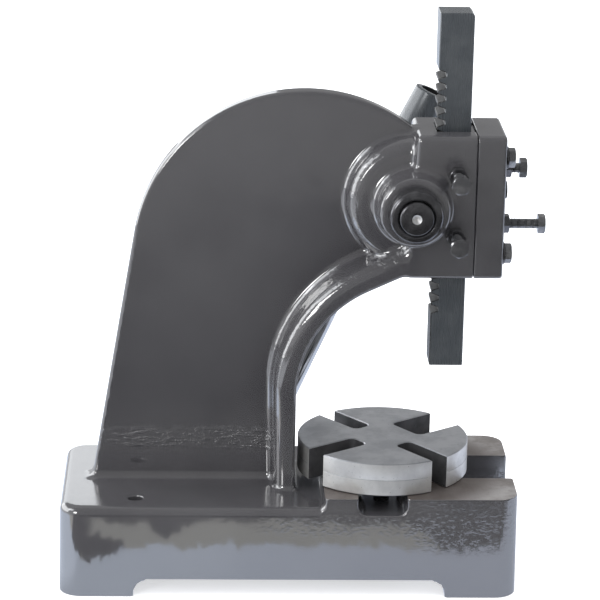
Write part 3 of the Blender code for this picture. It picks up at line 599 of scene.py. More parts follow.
class Finish:
    # one material or world, built node by node
    def __init__(self, tree, end):
        self.tree = tree
        tree.nodes.clear()
        self.output = tree.nodes.new(end)

    def node(self, kind, settings=None, inputs=None, output=0):
        made = self.tree.nodes.new(kind)
        for key, value in (settings or {}).items():
            if key == "stops":
                self.ramp(made.color_ramp, value)
            else:
                setattr(made, key, value)
        self.feed(made, inputs or {})
        return Shade(self, made.outputs[output])

    def feed(self, made, inputs):
        for key, value in inputs.items():
            socket = made.inputs[key]
            if isinstance(value, Shade):
                self.tree.links.new(value.socket, socket)
            else:
                socket.default_value = value

    def ramp(self, band, stops):
        while len(band.elements) > 1:
            band.elements.remove(band.elements[-1])
        for number, (place, colour) in enumerate(stops):
            element = band.elements[0] if number == 0 else band.elements.new(place)
            element.position = place
            element.color = (*colour, 1)

    def coords(self, output="Object"):
        return self.node("ShaderNodeTexCoord", output=output)

    def ray(self, kind):
        return self.node("ShaderNodeLightPath", output=kind)

    def parts(self, vector):
        first = self.node("ShaderNodeSeparateXYZ", {}, {0: vector})
        return [Shade(self, socket) for socket in first.socket.node.outputs]

    def noise(self, vector, scale, detail=2, roughness=0.5):
        return self.node("ShaderNodeTexNoise", {}, {"Vector": vector, "Scale": scale, "Detail": detail,
                                                    "Roughness": roughness})

    def stretched(self, vector, scale, turn=(0, 0, 0)):
        return self.node("ShaderNodeMapping", {}, {"Vector": vector, "Scale": scale, "Rotation": turn})

    def blend(self, share, one, other):
        # colours mixed by a mask
        ends = [end if isinstance(end, Shade) else (*end, 1) for end in (one, other)]
        return self.node("ShaderNodeMix", {"data_type": "RGBA"}, {0: share, 6: ends[0], 7: ends[1]}, 2)


def material(name, colour, **values):
    made = bpy.data.materials.new(name)
    made.use_nodes = True
    made.diffuse_color = (*colour, 1)
    finish = Finish(made.node_tree, "ShaderNodeOutputMaterial")
    shader = finish.node("ShaderNodeBsdfPrincipled", {}, {"Base Color": (*colour, 1), **values})
    finish.feed(finish.output, {0: shader})
    return made, finish, shader.socket.node, finish.coords()


def bumped(finish, shader, height):
    # heights are in millimetres
    normal = finish.node("ShaderNodeBump", {}, {"Height": height, "Distance": 1 * mm, "Strength": 1})
    finish.feed(shader, {"Normal": normal})


def makeEnamel():
    colour = (0.062, 0.061, 0.066)
    made, finish, shader, spot = material("greyEnamel", colour, Roughness=0.07, IOR=2.7)
    x, y, z = finish.parts(spot)
    wave = finish.noise(spot, 40, 1.5)
    dents = finish.noise(spot, 120, 1)
    peel = finish.noise(spot, 300, 0)
    # the casting's rough skin shows through on the base's right end and low on the web
    rightEnd = x.above(0.07, 0.105) * z.above(0.079, 0.076) * z.above(0.030, 0.044) * y.above(-0.075, -0.085)
    nearBand = x.above(-0.05, 0.0) * z.above(0.068, 0.063) * z.above(0.046, 0.054)
    lowWeb = z.above(0.093, 0.099) * z.above(0.115, 0.107) * x.above(-0.165, -0.12) * y.above(-0.028, -0.0295)
    lowWeb = lowWeb * y.above(-0.034, -0.0315)
    # and it is thick and dimpled on the plateau's rim and the throat's outer slope
    out = apart(x - pinionSpot.x, z - pinionSpot.z)
    besideHead = x.above(0.078, 0.070)
    ring = out.above(0.041, 0.043) * out.above(0.0525, 0.050) * besideHead
    rim = out.above(0.0238, 0.0250) * out.above(0.0305, 0.0285) * y.above(-0.055, -0.060) * besideHead
    t = press["throat"]
    aside, over = x - (pressZero.x - t["left"] * mm), z - t["height"] * mm
    bend = apart(aside, over) - t["radius"] * mm
    band = bend.above(0.012, 0.0145) * bend.above(0.0235, 0.021) * over.above(-0.005, 0.01) * besideHead
    flecks = finish.noise(finish.stretched(spot, (1, 1, 1.5), (0, 0.5, 0)), 300, 3, 0.6).above(0.50, 0.68)
    drips = finish.noise(finish.stretched(spot, (0.5, 1, 2.2)), 170, 3, 0.6).above(0.47, 0.62)
    lumps = finish.noise(spot, 130, 2, 0.5)
    height = wave * 0.15 + dents * 0.004 + peel * 0.001
    height = height + flecks * (rightEnd * 0.10 + nearBand * 0.06 + rim * 0.10) + drips * lowWeb * 0.55
    height = height + (lumps * 0.34 + flecks * 0.05) * (ring + band)
    bumped(finish, shader, height)
    tone = finish.noise(spot, 18, 3).above(0.3, 0.7)
    mixed = finish.blend(tone, (0.056, 0.055, 0.060), (0.068, 0.067, 0.072))
    head = x.above(0.078, 0.088) * z.above(0.2, 0.24)
    baseTop = z.above(0.066, 0.070) * z.above(0.0785, 0.073)
    farSide = y.above(-0.022, -0.012) * z.above(0.084, 0.088)
    coarse = peel * 0.05 + head * 0.12 + baseTop * 0.10 + farSide * (1 - head) * 0.16
    finish.feed(shader, {"Base Color": mixed, "Roughness": 0.045 + coarse})
    return made


def makeMachined(name, colour, dark, roughness, grain=(30, 2600, 30), pits=True, metallic=0.9, cut=0.010,
                 shadeAroundPlate=False):
    # ground or milled iron: fine parallel marks, cloudy tone and small pits
    made, finish, shader, spot = material(name, colour, Metallic=metallic, Roughness=roughness)
    marks = finish.noise(finish.stretched(spot, grain), 1, 3)
    cloud = finish.noise(spot, 55, 4, 0.6).above(0.35, 0.68)
    speck = finish.noise(spot, 520, 2).above(0.68, 0.76)
    height = marks * cut + finish.noise(spot, 140, 2) * 0.03
    tone = finish.blend(cloud, colour, dark)
    if pits:
        tone = finish.blend(speck * 0.55, tone, [value * 0.4 for value in dark])
        height = height - speck * 0.05
    if shadeAroundPlate:
        # painted shade: the iron turns dark brown close around the table plate
        x, y, _ = finish.parts(spot)
        out = apart(x - (pressZero.x - plateLeft * mm), y - pressZero.y) + cloud * 0.006
        tone = finish.blend(out.above(0.108, 0.078) * 0.85, tone, (0.10, 0.082, 0.074))
    bumped(finish, shader, height)
    finish.feed(shader, {"Base Color": tone, "Roughness": roughness + marks * 0.12 + cloud * 0.06})
    return made


def makeBlackSteel(name, colour, light, metallic):
    made, finish, shader, spot = material(name, colour, Metallic=metallic, Roughness=0.2)
    cloud = finish.noise(spot, 130, 3, 0.6)
    grain = finish.noise(spot, 1400, 2)
    tone = finish.blend(cloud.above(0.4, 0.72), colour, light)
    finish.feed(shader, {"Base Color": tone, "Roughness": 0.13 + cloud * 0.16})
    bumped(finish, shader, grain * 0.005 + cloud * 0.03)
    return made


def makeShadedRackSteel():
    # the rack's gaps are left as cut, dull and greasy, and painted shade makes them far darker than the ram
    colour = (0.040, 0.040, 0.041)
    made, finish, shader, spot = material("shadedRackSteel", colour, Roughness=0.5, IOR=1.4)
    grease = finish.noise(spot, 420, 3, 0.6)
    tone = finish.blend(grease.above(0.42, 0.68), (0.018, 0.018, 0.018), (0.075, 0.075, 0.076))
    finish.feed(shader, {"Base Color": tone, "Roughness": 0.32 + grease * 0.3})
    bumped(finish, shader, grease * 0.08)
    return made


def makeRamSteel():
    colour = (0.066, 0.074, 0.082)
    made, finish, shader, spot = material("ramSteel", colour, Metallic=0.2, Roughness=0.3, IOR=1.9)
    marks = finish.noise(finish.stretched(spot, (900, 900, 25)), 1, 3)
    cloud = finish.noise(spot, 60, 3, 0.6)
    tone = finish.blend(cloud.above(0.35, 0.7), (0.060, 0.069, 0.078), (0.078, 0.087, 0.095))
    finish.feed(shader, {"Base Color": tone, "Roughness": 0.2 + marks * 0.16})
    bumped(finish, shader, marks * 0.008 + cloud * 0.04)
    return made


def makePolished():
    colour = (0.55, 0.56, 0.575)
    made, finish, shader, spot = material("polishedSteel", colour, Metallic=1.0, Roughness=0.16)
    rings = finish.noise(finish.stretched(spot, (60, 60, 2200)), 1, 2)
    smear = finish.noise(spot, 70, 3)
    finish.feed(shader, {"Roughness": 0.1 + rings * 0.06 + smear.above(0.45, 0.75) * 0.12})
    tone = finish.blend(smear.above(0.4, 0.8), (0.57, 0.58, 0.59), (0.48, 0.49, 0.51))
    finish.feed(shader, {"Base Color": tone})
    bumped(finish, shader, rings * 0.003)
    return made


def makeKnobPlastic():
    colour = (0.02, 0.02, 0.021)
    made, finish, shader, spot = material("blackPlastic", colour, Roughness=0.3)
    grain = finish.noise(spot, 900, 3)
    finish.feed(shader, {"Roughness": 0.24 + grain * 0.16})
    bumped(finish, shader, grain * 0.008)
    return made


enamel = makeEnamel()
machinedIron = makeMachined("machinedIron", (0.52, 0.52, 0.53), (0.40, 0.405, 0.41), 0.34)
turnedIron = makeMachined("turnedIron", (0.82, 0.815, 0.80), (0.68, 0.675, 0.665), 0.37, (40, 40, 2200), True, 0.85,
                          0.02)
# painted shade: the plate's slot walls get a much darker copy of its iron
shadedSlotIron = makeMachined("shadedSlotIron", (0.10, 0.10, 0.105), (0.06, 0.06, 0.063), 0.42, (300, 300, 300), True, 0.5,
                        0.03)
centreSteel = makeMachined("centreSteel", (0.9, 0.9, 0.9), (0.8, 0.8, 0.8), 0.4, (900, 900, 900), False)
plateIron = makeMachined("plateIron", (0.58, 0.59, 0.615), (0.45, 0.462, 0.487), 0.34, (40, 40, 2200), True, 0.9, 0.03)
# the pad's iron, with painted shade around the table plate
padIron = makeMachined("padIron", (0.40, 0.385, 0.38), (0.22, 0.202, 0.192), 0.42, (1500, 30, 30), True, 0.4,
                       shadeAroundPlate=True)
# painted shade: bores, tapped holes and the ram's guide get a dark copy of the machined iron
shadedBoreIron = makeMachined("shadedBoreIron", (0.10, 0.10, 0.105), (0.05, 0.05, 0.052), 0.45, (30, 900, 900), False)
blackSteel = makeBlackSteel("blackSteel", (0.21, 0.213, 0.222), (0.34, 0.342, 0.35), 0.86)
shaftSteel = makeBlackSteel("shaftSteel", (0.14, 0.14, 0.148), (0.21, 0.21, 0.22), 0.92)
shadedRackSteel = makeShadedRackSteel()
ramSteel = makeRamSteel()
polishedSteel = makePolished()
knobPlastic = makeKnobPlastic()
print("finishes made")


# The cast frame

machining = {"guideBack": -13, "guideNear": -17.3, "guideFar": 13, "headFront": 16.35, "capGap": 0.3,
             "capThickness": 21.55, "nearBore": 12.9, "farBore": 22.5, "farBoreEnd": -13.3, "screwHole": 4.3,
             "boltHole": 5.75, "boltLeft": 233.8, "boltSide": 47.5, "boltLip": 2.2, "pinHole": 6.3,
             "pinHoleEnd": 52.2, "over": 5}
capBack = machining["headFront"] + machining["capGap"]
capFront = capBack + machining["capThickness"]
capScrewPlaces = ((-23, 330.3), (-23, 257), (23, 293.65))
frontScrews = ((316.9, 56.7), (273.7, 72.2))
sideScrews = ((318.8, 64.0), (272.2, 67.0))
sideScrewFront = 2.3
screwTap = 3.3


def frameTools():
    m = machining
    h = press["head"]
    over = m["over"]
    bottom, top = h["bottom"] - over, h["top"] + over
    axis = (-pinionLeft, 0, pinionHeight)
    made = [
        box("ramGuide", (m["guideBack"], m["guideNear"], bottom - 1), (m["headFront"] + 29, m["guideFar"], top + 1),
            shadedBoreIron),
        box("padFace", (-100, -90, press["base"]["padTop"]), (70, 90, 90), padIron),
        box("feet", (-320, -90, -6), (80, 90, 0), padIron),
        drill(m["nearBore"], -60, 0, toFar, axis, shadedBoreIron, 64),
        drill(m["farBore"], m["farBoreEnd"], 60, toFar, axis, shadedBoreIron, 64),
        drill(m["pinHole"], m["pinHoleEnd"], 70, upright, (-plateLeft, 0, 0), shadedBoreIron),
    ]
    for side, height in capScrewPlaces:
        made.append(drill(m["screwHole"], -3.65, 40, toFront, (0, side, height), shadedBoreIron, 24))
    for height, _ in sideScrews:
        made.append(drill(m["screwHole"], 12, 40, toNear, (sideScrewFront, 0, height), shadedBoreIron, 24))
    radius, lip, face = m["boltHole"], m["boltLip"], press["base"]["top"]
    flare = [(radius + lip - x, face - lip + z + 0.05) for x, z in arcPoints((0, 0), lip, 0, 90, 6)]
    profile = scaled([(0, 40), (radius, 40), *flare, (radius + lip, 80), (0, 80)])
    for side in (-m["boltSide"], m["boltSide"]):
        hole = placed(revolved("boltHole", profile, 40), shifted(-m["boltLeft"], side, 0))
        hole.data.materials.append(enamel)
        made.append(hole)
    return made


def makeFrame():
    axes = (
        stretches((-295, -252, 2.4), (-252, -216, 1.7), (-216, -88, 2.7), (-88, 22, 1.4), (22, 60, 2.1)),
        stretches((-77, -36, 2.4), (-36, 36, 1.6), (36, 77, 2.4)),
        stretches((-5, 58, 2.8), (58, 84, 1.5), (84, 234, 2.8), (234, 353, 1.5), (353, 380, 2.4)),
    )
    raw = castMesh("rawFrame", frameField, axes, enamel)
    print("frame cast:", len(raw.data.polygons), "faces")
    made = cutAway(raw, frameTools(), "castFrame")
    castShading(made, frameField)
    made.data.transform(Matrix.Translation(pressZero))
    dressed(made, "press_body", None, "enamel", "frame", smooth=None)


def capField(x, y, z):
    section = headSection(z, np.abs(y))
    section = roundMeet(section, x - capFront, 2.6)
    return roundMeet(section, capBack - x, press["head"]["frontEdge"])


def makeCap():
    axes = (stretches((14, 41, 1.1)), stretches((-36, 36, 1.5)), stretches((237, 351, 1.5)))
    raw = castMesh("rawCap", capField, axes, enamel)
    places = [*capScrewPlaces, *((0, height) for height, _ in frontScrews)]
    tools = [drill(machining["screwHole"], 10, 45, toFront, (0, *place), shadedBoreIron, 24) for place in places]
    made = cutAway(raw, tools, "frontCap")
    castShading(made, capField)
    made.data.transform(Matrix.Translation(pressZero))
    dressed(made, "press_body", None, "enamel", "front_cap", smooth=None)


makeFrame()
makeCap()
print("castings machined")


# Ram and gibs

ram = {"half": 12.7, "length": 270.8, "rest": 165, "pitch": 9.02, "gaps": 21, "topGap": 225, "addendum": 2.6,
       "depth": 5.8, "backlash": 0.2, "rootRound": 0.8, "landRound": 0.75, "edge": 0.7, "chamfer": 2.0}


def makeRam():
    r = ram
    half = r["half"]
    slope = math.tan(rad(20))
    datum = (r["pitch"] / 2 + r["backlash"]) / 2
    mouth = datum + r["addendum"] * slope
    floor = datum - (r["depth"] - r["addendum"]) * slope
    chamfer = r["chamfer"]
    corners = [(-half, 0), (half, 0), (half, r["length"] - chamfer), (half - chamfer, r["length"]),
               (-half, r["length"])]
    radii = [0.9, 0.9, 0.9, 0.9, 0.8]
    for gap in range(r["gaps"]):
        middle = r["topGap"] - gap * r["pitch"]
        corners += [(-half, middle + mouth), (-half + r["depth"], middle + floor),
                    (-half + r["depth"], middle - floor), (-half, middle - mouth)]
        radii += [r["landRound"], r["rootRound"], r["rootRound"], r["landRound"]]
    outline = scaled(rounded(corners, radii, steps=3))
    edge = r["edge"] * mm
    levels = [(-half * mm, edge), (-half * mm + edge, 0), (half * mm - edge, 0), (half * mm, edge)]
    made = layered("rackRam", outline, levels)
    placed(made, Matrix.Translation(pressZero + Vector((0, 0, r["rest"] * mm))) @ toNear)
    dressed(made, "ram_body", ramSteel, "ram_steel", "ram", smooth=25)
    # the toothed strip is left rough, and painted shade makes it much darker than the ram
    made.data.materials.append(shadedRackSteel)
    top = (r["rest"] + r["topGap"] + r["pitch"] / 2) * mm
    for face in made.data.polygons:
        place = face.center - pressZero
        if place.z < top and place.x < (-half + r["depth"] + 0.1) * mm and abs(place.y) < (half - 0.02) * mm:
            face.material_index = 1


gib = {"bottom": 241.3, "top": 346, "inner": 13, "front": 16.3, "side": 17, "edge": 0.4}


def makeGibs():
    g = gib
    half = ram["half"]
    pieces = []
    front = box("gib", (g["inner"], -g["side"], g["bottom"]), (g["front"], half, g["top"]))
    side = box("gib", (-half, -g["side"], g["bottom"]), (half, -g["inner"], g["top"]))
    for piece, holes, turn, along, face in ((front, frontScrews, toFront, 0, g["front"]),
                                            (side, sideScrews, toNear, sideScrewFront, g["side"])):
        bevel = piece.modifiers.new("edges", "BEVEL")
        bevel.width = g["edge"] * mm
        bevel.segments = 2
        piece = evaluated(piece, "gib")
        tools = [drill(screwTap, face - 1, face + 4, turn, (along, 0, height), steps=24) for height, _ in holes]
        pieces.append(cutAway(piece, tools, "gib"))
    made = joined("gibStrips", pieces)
    made.data.transform(Matrix.Translation(pressZero))
    dressed(made, "press_body", machinedIron, "machined_iron", "front_gib", "side_gib")


makeRam()
makeGibs()
print("ram and gibs made")


# Screws, nuts and washers, by Geometry Nodes

class Tree:
    # a Geometry Nodes tree with named inputs
    def __init__(self, name):
        self.tree = bpy.data.node_groups.new(name, "GeometryNodeTree")
        self.tree.is_modifier = True
        self.tree.interface.new_socket("Geometry", in_out="INPUT", socket_type="NodeSocketGeometry")
        self.tree.interface.new_socket("Geometry", in_out="OUTPUT", socket_type="NodeSocketGeometry")
        self.start = self.tree.nodes.new("NodeGroupInput")
        self.end = self.tree.nodes.new("NodeGroupOutput")
        self.ids = {}

    def input(self, name, value, kind="NodeSocketFloat"):
        socket = self.tree.interface.new_socket(name, in_out="INPUT", socket_type=kind)
        socket.default_value = value
        self.ids[name] = socket.identifier
        return self.start.outputs[name]

    def node(self, kind, settings=None, inputs=None, output=0):
        made = self.tree.nodes.new(kind)
        for key, value in (settings or {}).items():
            setattr(made, key, value)
        for key, value in (inputs or {}).items():
            links = value if isinstance(value, list) else [value]
            for link in links:
                if isinstance(link, bpy.types.NodeSocket):
                    self.tree.links.new(link, made.inputs[key])
                else:
                    made.inputs[key].default_value = link
        return made.outputs[output]

    def sum(self, operation, *values):
        return self.node("ShaderNodeMath", {"operation": operation}, dict(enumerate(values)))

    def cylinder(self, sides, radius, height):
        return self.node("GeometryNodeMeshCylinder", {}, {"Vertices": sides, "Radius": radius, "Depth": height})

    def raised(self, geometry, height):
        place = self.node("ShaderNodeCombineXYZ", {}, {"Z": height})
        return self.node("GeometryNodeTransform", {}, {"Geometry": geometry, "Translation": place})

    def flare(self, topRadius, height, share, fall):
        # a wide, flat cone, which takes the chamfer off the corners of a prism of this height
        wide = self.sum("ADD", topRadius, self.sum("MULTIPLY", height, 1.8))
        sizes = {"Vertices": 64, "Radius Top": topRadius, "Radius Bottom": wide,
                 "Depth": self.sum("MULTIPLY", height, share)}
        return self.raised(self.node("GeometryNodeMeshCone", {}, sizes), self.sum("MULTIPLY", height, -fall))

    def cut(self, operation, inputs):
        return self.node("GeometryNodeMeshBoolean", {"operation": operation, "solver": "EXACT"}, inputs)

    def finish(self, geometry, material):
        real = self.node("GeometryNodeRealizeInstances", {}, {"Geometry": geometry})
        coloured = self.node("GeometryNodeSetMaterial", {}, {"Geometry": real, "Material": material})
        self.tree.links.new(coloured, self.end.inputs[0])


def screwTree():
    # a bolt along Z: threaded shank from zero to its length, chamfered hexagon on top
    t = Tree("hexScrew")
    flats = t.input("Across Flats", 13 * mm)
    headHeight = t.input("Head Height", 5.6 * mm)
    radius = t.input("Shank Radius", 4 * mm)
    length = t.input("Shank Length", 30 * mm)
    pitch = t.input("Thread Pitch", 1.25 * mm)
    depth = t.input("Thread Depth", 0.55 * mm)
    tip = t.input("Tip Radius", 3 * mm)
    tipLength = t.input("Tip Length", 3 * mm)
    corner = t.sum("MULTIPLY", flats, 1 / math.sqrt(3))
    core = t.sum("SUBTRACT", radius, depth)
    prism = t.cylinder(6, corner, headHeight)
    flare = t.flare(t.sum("MULTIPLY", flats, 0.475), headHeight, 1.02, 0.505)
    head = t.cut("INTERSECT", {"Mesh 2": [prism, flare]})
    head = t.raised(head, t.sum("ADD", length, t.sum("MULTIPLY", headHeight, 0.5)))
    shankLength = t.sum("SUBTRACT", length, tipLength)
    shank = t.cylinder(32, core, shankLength)
    shank = t.raised(shank, t.sum("ADD", tipLength, t.sum("MULTIPLY", shankLength, 0.5)))
    dog = t.raised(t.cylinder(24, tip, tipLength), t.sum("MULTIPLY", tipLength, 0.5))
    threadHeight = t.sum("SUBTRACT", shankLength, t.sum("MULTIPLY", pitch, 1.6))
    turns = t.sum("DIVIDE", threadHeight, pitch)
    path = t.node("GeometryNodeCurveSpiral", {}, {"Resolution": 24, "Rotations": turns, "Start Radius": core,
                                                  "End Radius": core, "Height": threadHeight})
    ridge = t.node("GeometryNodeCurvePrimitiveCircle", {"mode": "RADIUS"}, {"Resolution": 4, "Radius": depth})
    thread = t.node("GeometryNodeCurveToMesh", {}, {"Curve": path, "Profile Curve": ridge, "Fill Caps": True})
    thread = t.raised(thread, t.sum("ADD", tipLength, t.sum("MULTIPLY", pitch, 0.8)))
    t.finish(t.node("GeometryNodeJoinGeometry", {}, {"Geometry": [head, shank, dog, thread]}), blackSteel)
    return t


def nutTree():
    # nuts or washers, one at each point of the mesh that carries the modifier
    t = Tree("nutRow")
    sides = t.input("Sides", 6, "NodeSocketInt")
    radius = t.input("Corner Radius", 13 * mm / math.sqrt(3))
    height = t.input("Height", 6.6 * mm)
    bore = t.input("Bore Radius", 4.1 * mm)
    chamfer = t.input("Chamfer Share", 0.82)
    body = t.cylinder(sides, radius, height)
    hole = t.cylinder(32, bore, t.sum("MULTIPLY", height, 1.6))
    flare = t.flare(t.sum("MULTIPLY", radius, chamfer), height, 1.001, 0.5)
    topped = t.cut("INTERSECT", {"Mesh 2": [body, flare]})
    drilled = t.cut("DIFFERENCE", {"Mesh 1": topped, "Mesh 2": [hole]})
    points = t.node("GeometryNodeMeshToPoints", {}, {"Mesh": t.start.outputs["Geometry"]})
    row = t.node("GeometryNodeInstanceOnPoints", {}, {"Points": points, "Instance": drilled})
    t.finish(row, shaftSteel)
    return t


hexScrew = screwTree()
nutRow = nutTree()


def fromTree(name, tree, points, values, matrix):
    # points lie in the fastening's own frame, with Z along it
    carrier = meshObject(name, points, [])
    modifier = carrier.modifiers.new(name, "NODES")
    modifier.node_group = tree.tree
    for key, value in values.items():
        modifier[tree.ids[key]] = value
    made = evaluated(carrier, name)
    made.data.transform(matrix)
    return made


def oneScrew(tipAt, headFrom, headHeight, matrix, tip=3.0, tipLength=3.0):
    # places are along the screw's own axis, in millimetres
    values = {"Shank Length": (headFrom - tipAt) * mm, "Head Height": headHeight * mm, "Tip Radius": tip * mm,
              "Tip Length": tipLength * mm}
    return fromTree("screw", hexScrew, [(0, 0, 0)], values, matrix @ shifted(0, 0, tipAt))


def spin(degrees):
    return Matrix.Rotation(rad(degrees), 4, "Z")


def fastened(name, pieces, *nodes):
    dressed(joined(name, pieces), "press_body", None, "black_steel", *nodes, smooth=20)


def makeFastenings():
    zero = Matrix.Translation(pressZero)
    screws = []
    for place, degrees in zip(capScrewPlaces, (8, 21, 40)):
        turn = zero @ shifted(0, *place) @ toFront @ spin(degrees)
        screws.append(oneScrew(-1.65, capFront + 2.0, 4.9, turn, 3.4, 1.0))
    fastened("capScrews", screws, "cap_screw_1", "cap_screw_2", "cap_screw_3")
    screws = []
    for (height, top), degrees in zip(frontScrews, (12, 3)):
        turn = zero @ shifted(0, 0, height) @ toFront @ spin(degrees)
        screws.append(oneScrew(15.6, top - 5.6, 5.6, turn))
    for (height, top), degrees in zip(sideScrews, (10, 24)):
        turn = zero @ shifted(sideScrewFront, 0, height) @ toNear @ spin(degrees)
        screws.append(oneScrew(16.3, top - 5.6, 5.6, turn))
    fastened("gibScrews", screws, "front_gib_screw_1", "front_gib_screw_2", "side_gib_screw_1", "side_gib_screw_2")
    nuts = []
    nutHeight, washerHeight, gap = 6.6, 1.4, 0.3
    for turn, face, places in ((zero @ toFront, capFront, frontScrews),
                               (zero @ shifted(sideScrewFront, 0, 0) @ toNear, press["head"]["half"], sideScrews)):
        points = scaled((0, height, face + gap + nutHeight / 2) for height, _ in places)
        nuts.append(fromTree("nut", nutRow, points, {"Height": nutHeight * mm}, turn))
    fastened("lockNuts", nuts, "front_gib_nut_1", "front_gib_nut_2", "side_gib_nut_1", "side_gib_nut_2")
    values = {"Sides": 48, "Corner Radius": 8.2 * mm, "Height": washerHeight * mm, "Bore Radius": 4.3 * mm,
              "Chamfer Share": 0.97}
    points = scaled((*place, capFront + gap + washerHeight / 2) for place in capScrewPlaces)
    washers = fromTree("capWashers", nutRow, points, values, zero @ toFront)
    dressed(washers, "press_body", None, "black_steel", "cap_washer_1", "cap_washer_2", "cap_washer_3")


makeFastenings()
print("screws, nuts and washers made")


# Pinion shaft, collar, hub and lever

shaft = {"nearRadius": 12.6, "farRadius": 22.2, "gearHalf": 13, "nearEnd": 66.5, "farEnd": 50, "spigot": 11,
         "spigotEnd": 78.5, "teeth": 13, "pitchRadius": 18.662, "shift": 0.7, "addendum": 2.5}


def toothOutline():
    s = shaft
    base = s["pitchRadius"] * math.cos(rad(20))
    inverse = math.tan(rad(20)) - rad(20)
    pitch = math.tau * s["pitchRadius"] / s["teeth"]
    thickness = pitch / 2 + 2 * s["shift"] * math.tan(rad(20)) - 0.5
    atPitch = thickness / (2 * s["pitchRadius"]) + inverse
    tip = s["pitchRadius"] + s["shift"] + s["addendum"]
    root = pinionLeft - ram["half"] - 0.6
    radii = [root] + [base + (tip - base) * i / 6 for i in range(7)]
    topGap = ram["rest"] + ram["topGap"]
    gapsDown = math.floor((topGap - pinionHeight) / ram["pitch"])
    phase = (topGap - gapsDown * ram["pitch"] - pinionHeight) / s["pitchRadius"]
    points = []
    for tooth in range(s["teeth"]):
        middle = phase + math.tau * tooth / s["teeth"]
        rising = []
        for radius in radii:
            pressure = math.acos(min(base / radius, 1))
            rising.append((radius, middle - atPitch + math.tan(pressure) - pressure))
        falling = [(radius, 2 * middle - angle) for radius, angle in reversed(rising)]
        points += [(radius * math.cos(a) * mm, radius * math.sin(a) * mm) for radius, a in rising + falling]
    return points


def makeShaft():
    s = shaft
    near, far = s["nearRadius"], s["farRadius"]
    corners = [(0, -s["nearEnd"] + 2.6), (0.9, -s["nearEnd"] + 2.2), (1.4, -s["nearEnd"] + 1.9),
               (3.6, -s["nearEnd"]), (near, -s["nearEnd"]), (near, -s["gearHalf"]), (far, s["gearHalf"]),
               (far, s["farEnd"]), (s["spigot"], s["farEnd"]), (s["spigot"], s["spigotEnd"]), (0, s["spigotEnd"])]
    radii = [0, 0, 0, 0.3, 1.6, 0, 0, 0.8, 0, 1.4, 0]
    # the fat journal starts behind the teeth
    half = s["gearHalf"]
    nearPart = outlined(corners[:6], radii[:6], False) + [(0, -half * mm)]
    farPart = outlined([(0, half), *corners[6:]], [0, *radii[6:]], False)
    edge = 0.5 * mm
    gear = layered("gear", toothOutline(), [(-half * mm, edge), (-half * mm + edge, 0), (half * mm, 0)])
    placed(gear, toNear)
    parts = [placed(revolved("journal", part, 72), toFar) for part in (nearPart, farPart)]
    made = joined("pinionShaft", [*parts, gear])
    made.data.transform(Matrix.Translation(pinionSpot))
    dressed(made, "pinion_body", shaftSteel, "black_steel", "pinion_shaft")
    # the drilled centre is bright
    made.data.materials.append(centreSteel)
    for face in made.data.polygons:
        out = face.center - pinionSpot
        if out.y < (-s["nearEnd"] + 2.65) * mm and math.hypot(out.x, out.z) < 3.6 * mm:
            face.material_index = 1


collar = {"low": 50.3, "high": 64.0, "bore": 12.9, "radius": 19.9, "mouth": 14.4, "mouthDepth": 1.5}


def makeCollar():
    c = collar
    low, high, bore = c["low"], c["high"], c["bore"]
    corners = [(bore, low), (c["radius"], low), (c["radius"], high), (c["mouth"], high),
               (bore, high - c["mouthDepth"])]
    outline = outlined(corners, [0, 0.5, 3.6, 0.5, 0], steps=6)
    ring = placed(revolved("ring", outline, 72, closed=True), toNear)
    spot = (0, -(low + (high - low - 4) / 2), 0)
    made = cutAway(ring, [drill(screwTap, 0, 24, toLeft, spot, steps=24)], "shaftCollar")
    made.data.transform(Matrix.Translation(pinionSpot))
    dressed(made, "pinion_body", shaftSteel, "black_steel", "shaft_collar")
    body = drill(3, bore, c["radius"] - 0.7, upright, steps=24)
    screw = cutAway(body, [drill(1.75, 16.5, 20, upright, steps=6)], "collarSetScrew")
    placed(screw, Matrix.Translation(pinionSpot) @ shifted(*spot) @ toLeft)
    dressed(screw, "pinion_body", blackSteel, "black_steel", "collar_set_screw")


leverTilt = rad(24)
lever = {"plane": 94, "offset": 4, "sleeve": 15, "half": 63, "neck": 17, "neckStart": 50.4, "bore": 9.3,
         "socket": 11.3, "socketEnd": 78.8, "lockUp": 32, "pinFromFace": 14, "pinRadius": 3, "pinBore": 1.5,
         "pinHalf": 16.4, "taper": 1.4, "taperRun": 26, "sleeveEdge": 0.9, "neckEdge": 1, "fillet": 4}
leverAside = Vector((-lever["offset"] * math.cos(leverTilt), lever["plane"], lever["offset"] * math.sin(leverTilt)))
leverPlace = Matrix.Translation(pinionSpot + leverAside * mm) @ Matrix.Rotation(leverTilt, 4, "Y")


def hubField(x, y, z):
    # sleeve along Z with the neck reaching to -Y, in millimetres
    c = lever
    length = np.abs(z) - c["half"]
    taper = np.clip((length + c["taperRun"]) / c["taperRun"], 0, 1) * c["taper"]
    sleeve = roundMeet(np.hypot(x, y) - c["sleeve"] + taper, length, c["sleeveEdge"])
    neck = np.hypot(x - c["offset"], z) - c["neck"]
    neck = roundMeet(neck, c["neckStart"] - c["plane"] - y, c["neckEdge"])
    return roundUnion(sleeve, np.maximum(neck, y), c["fillet"])


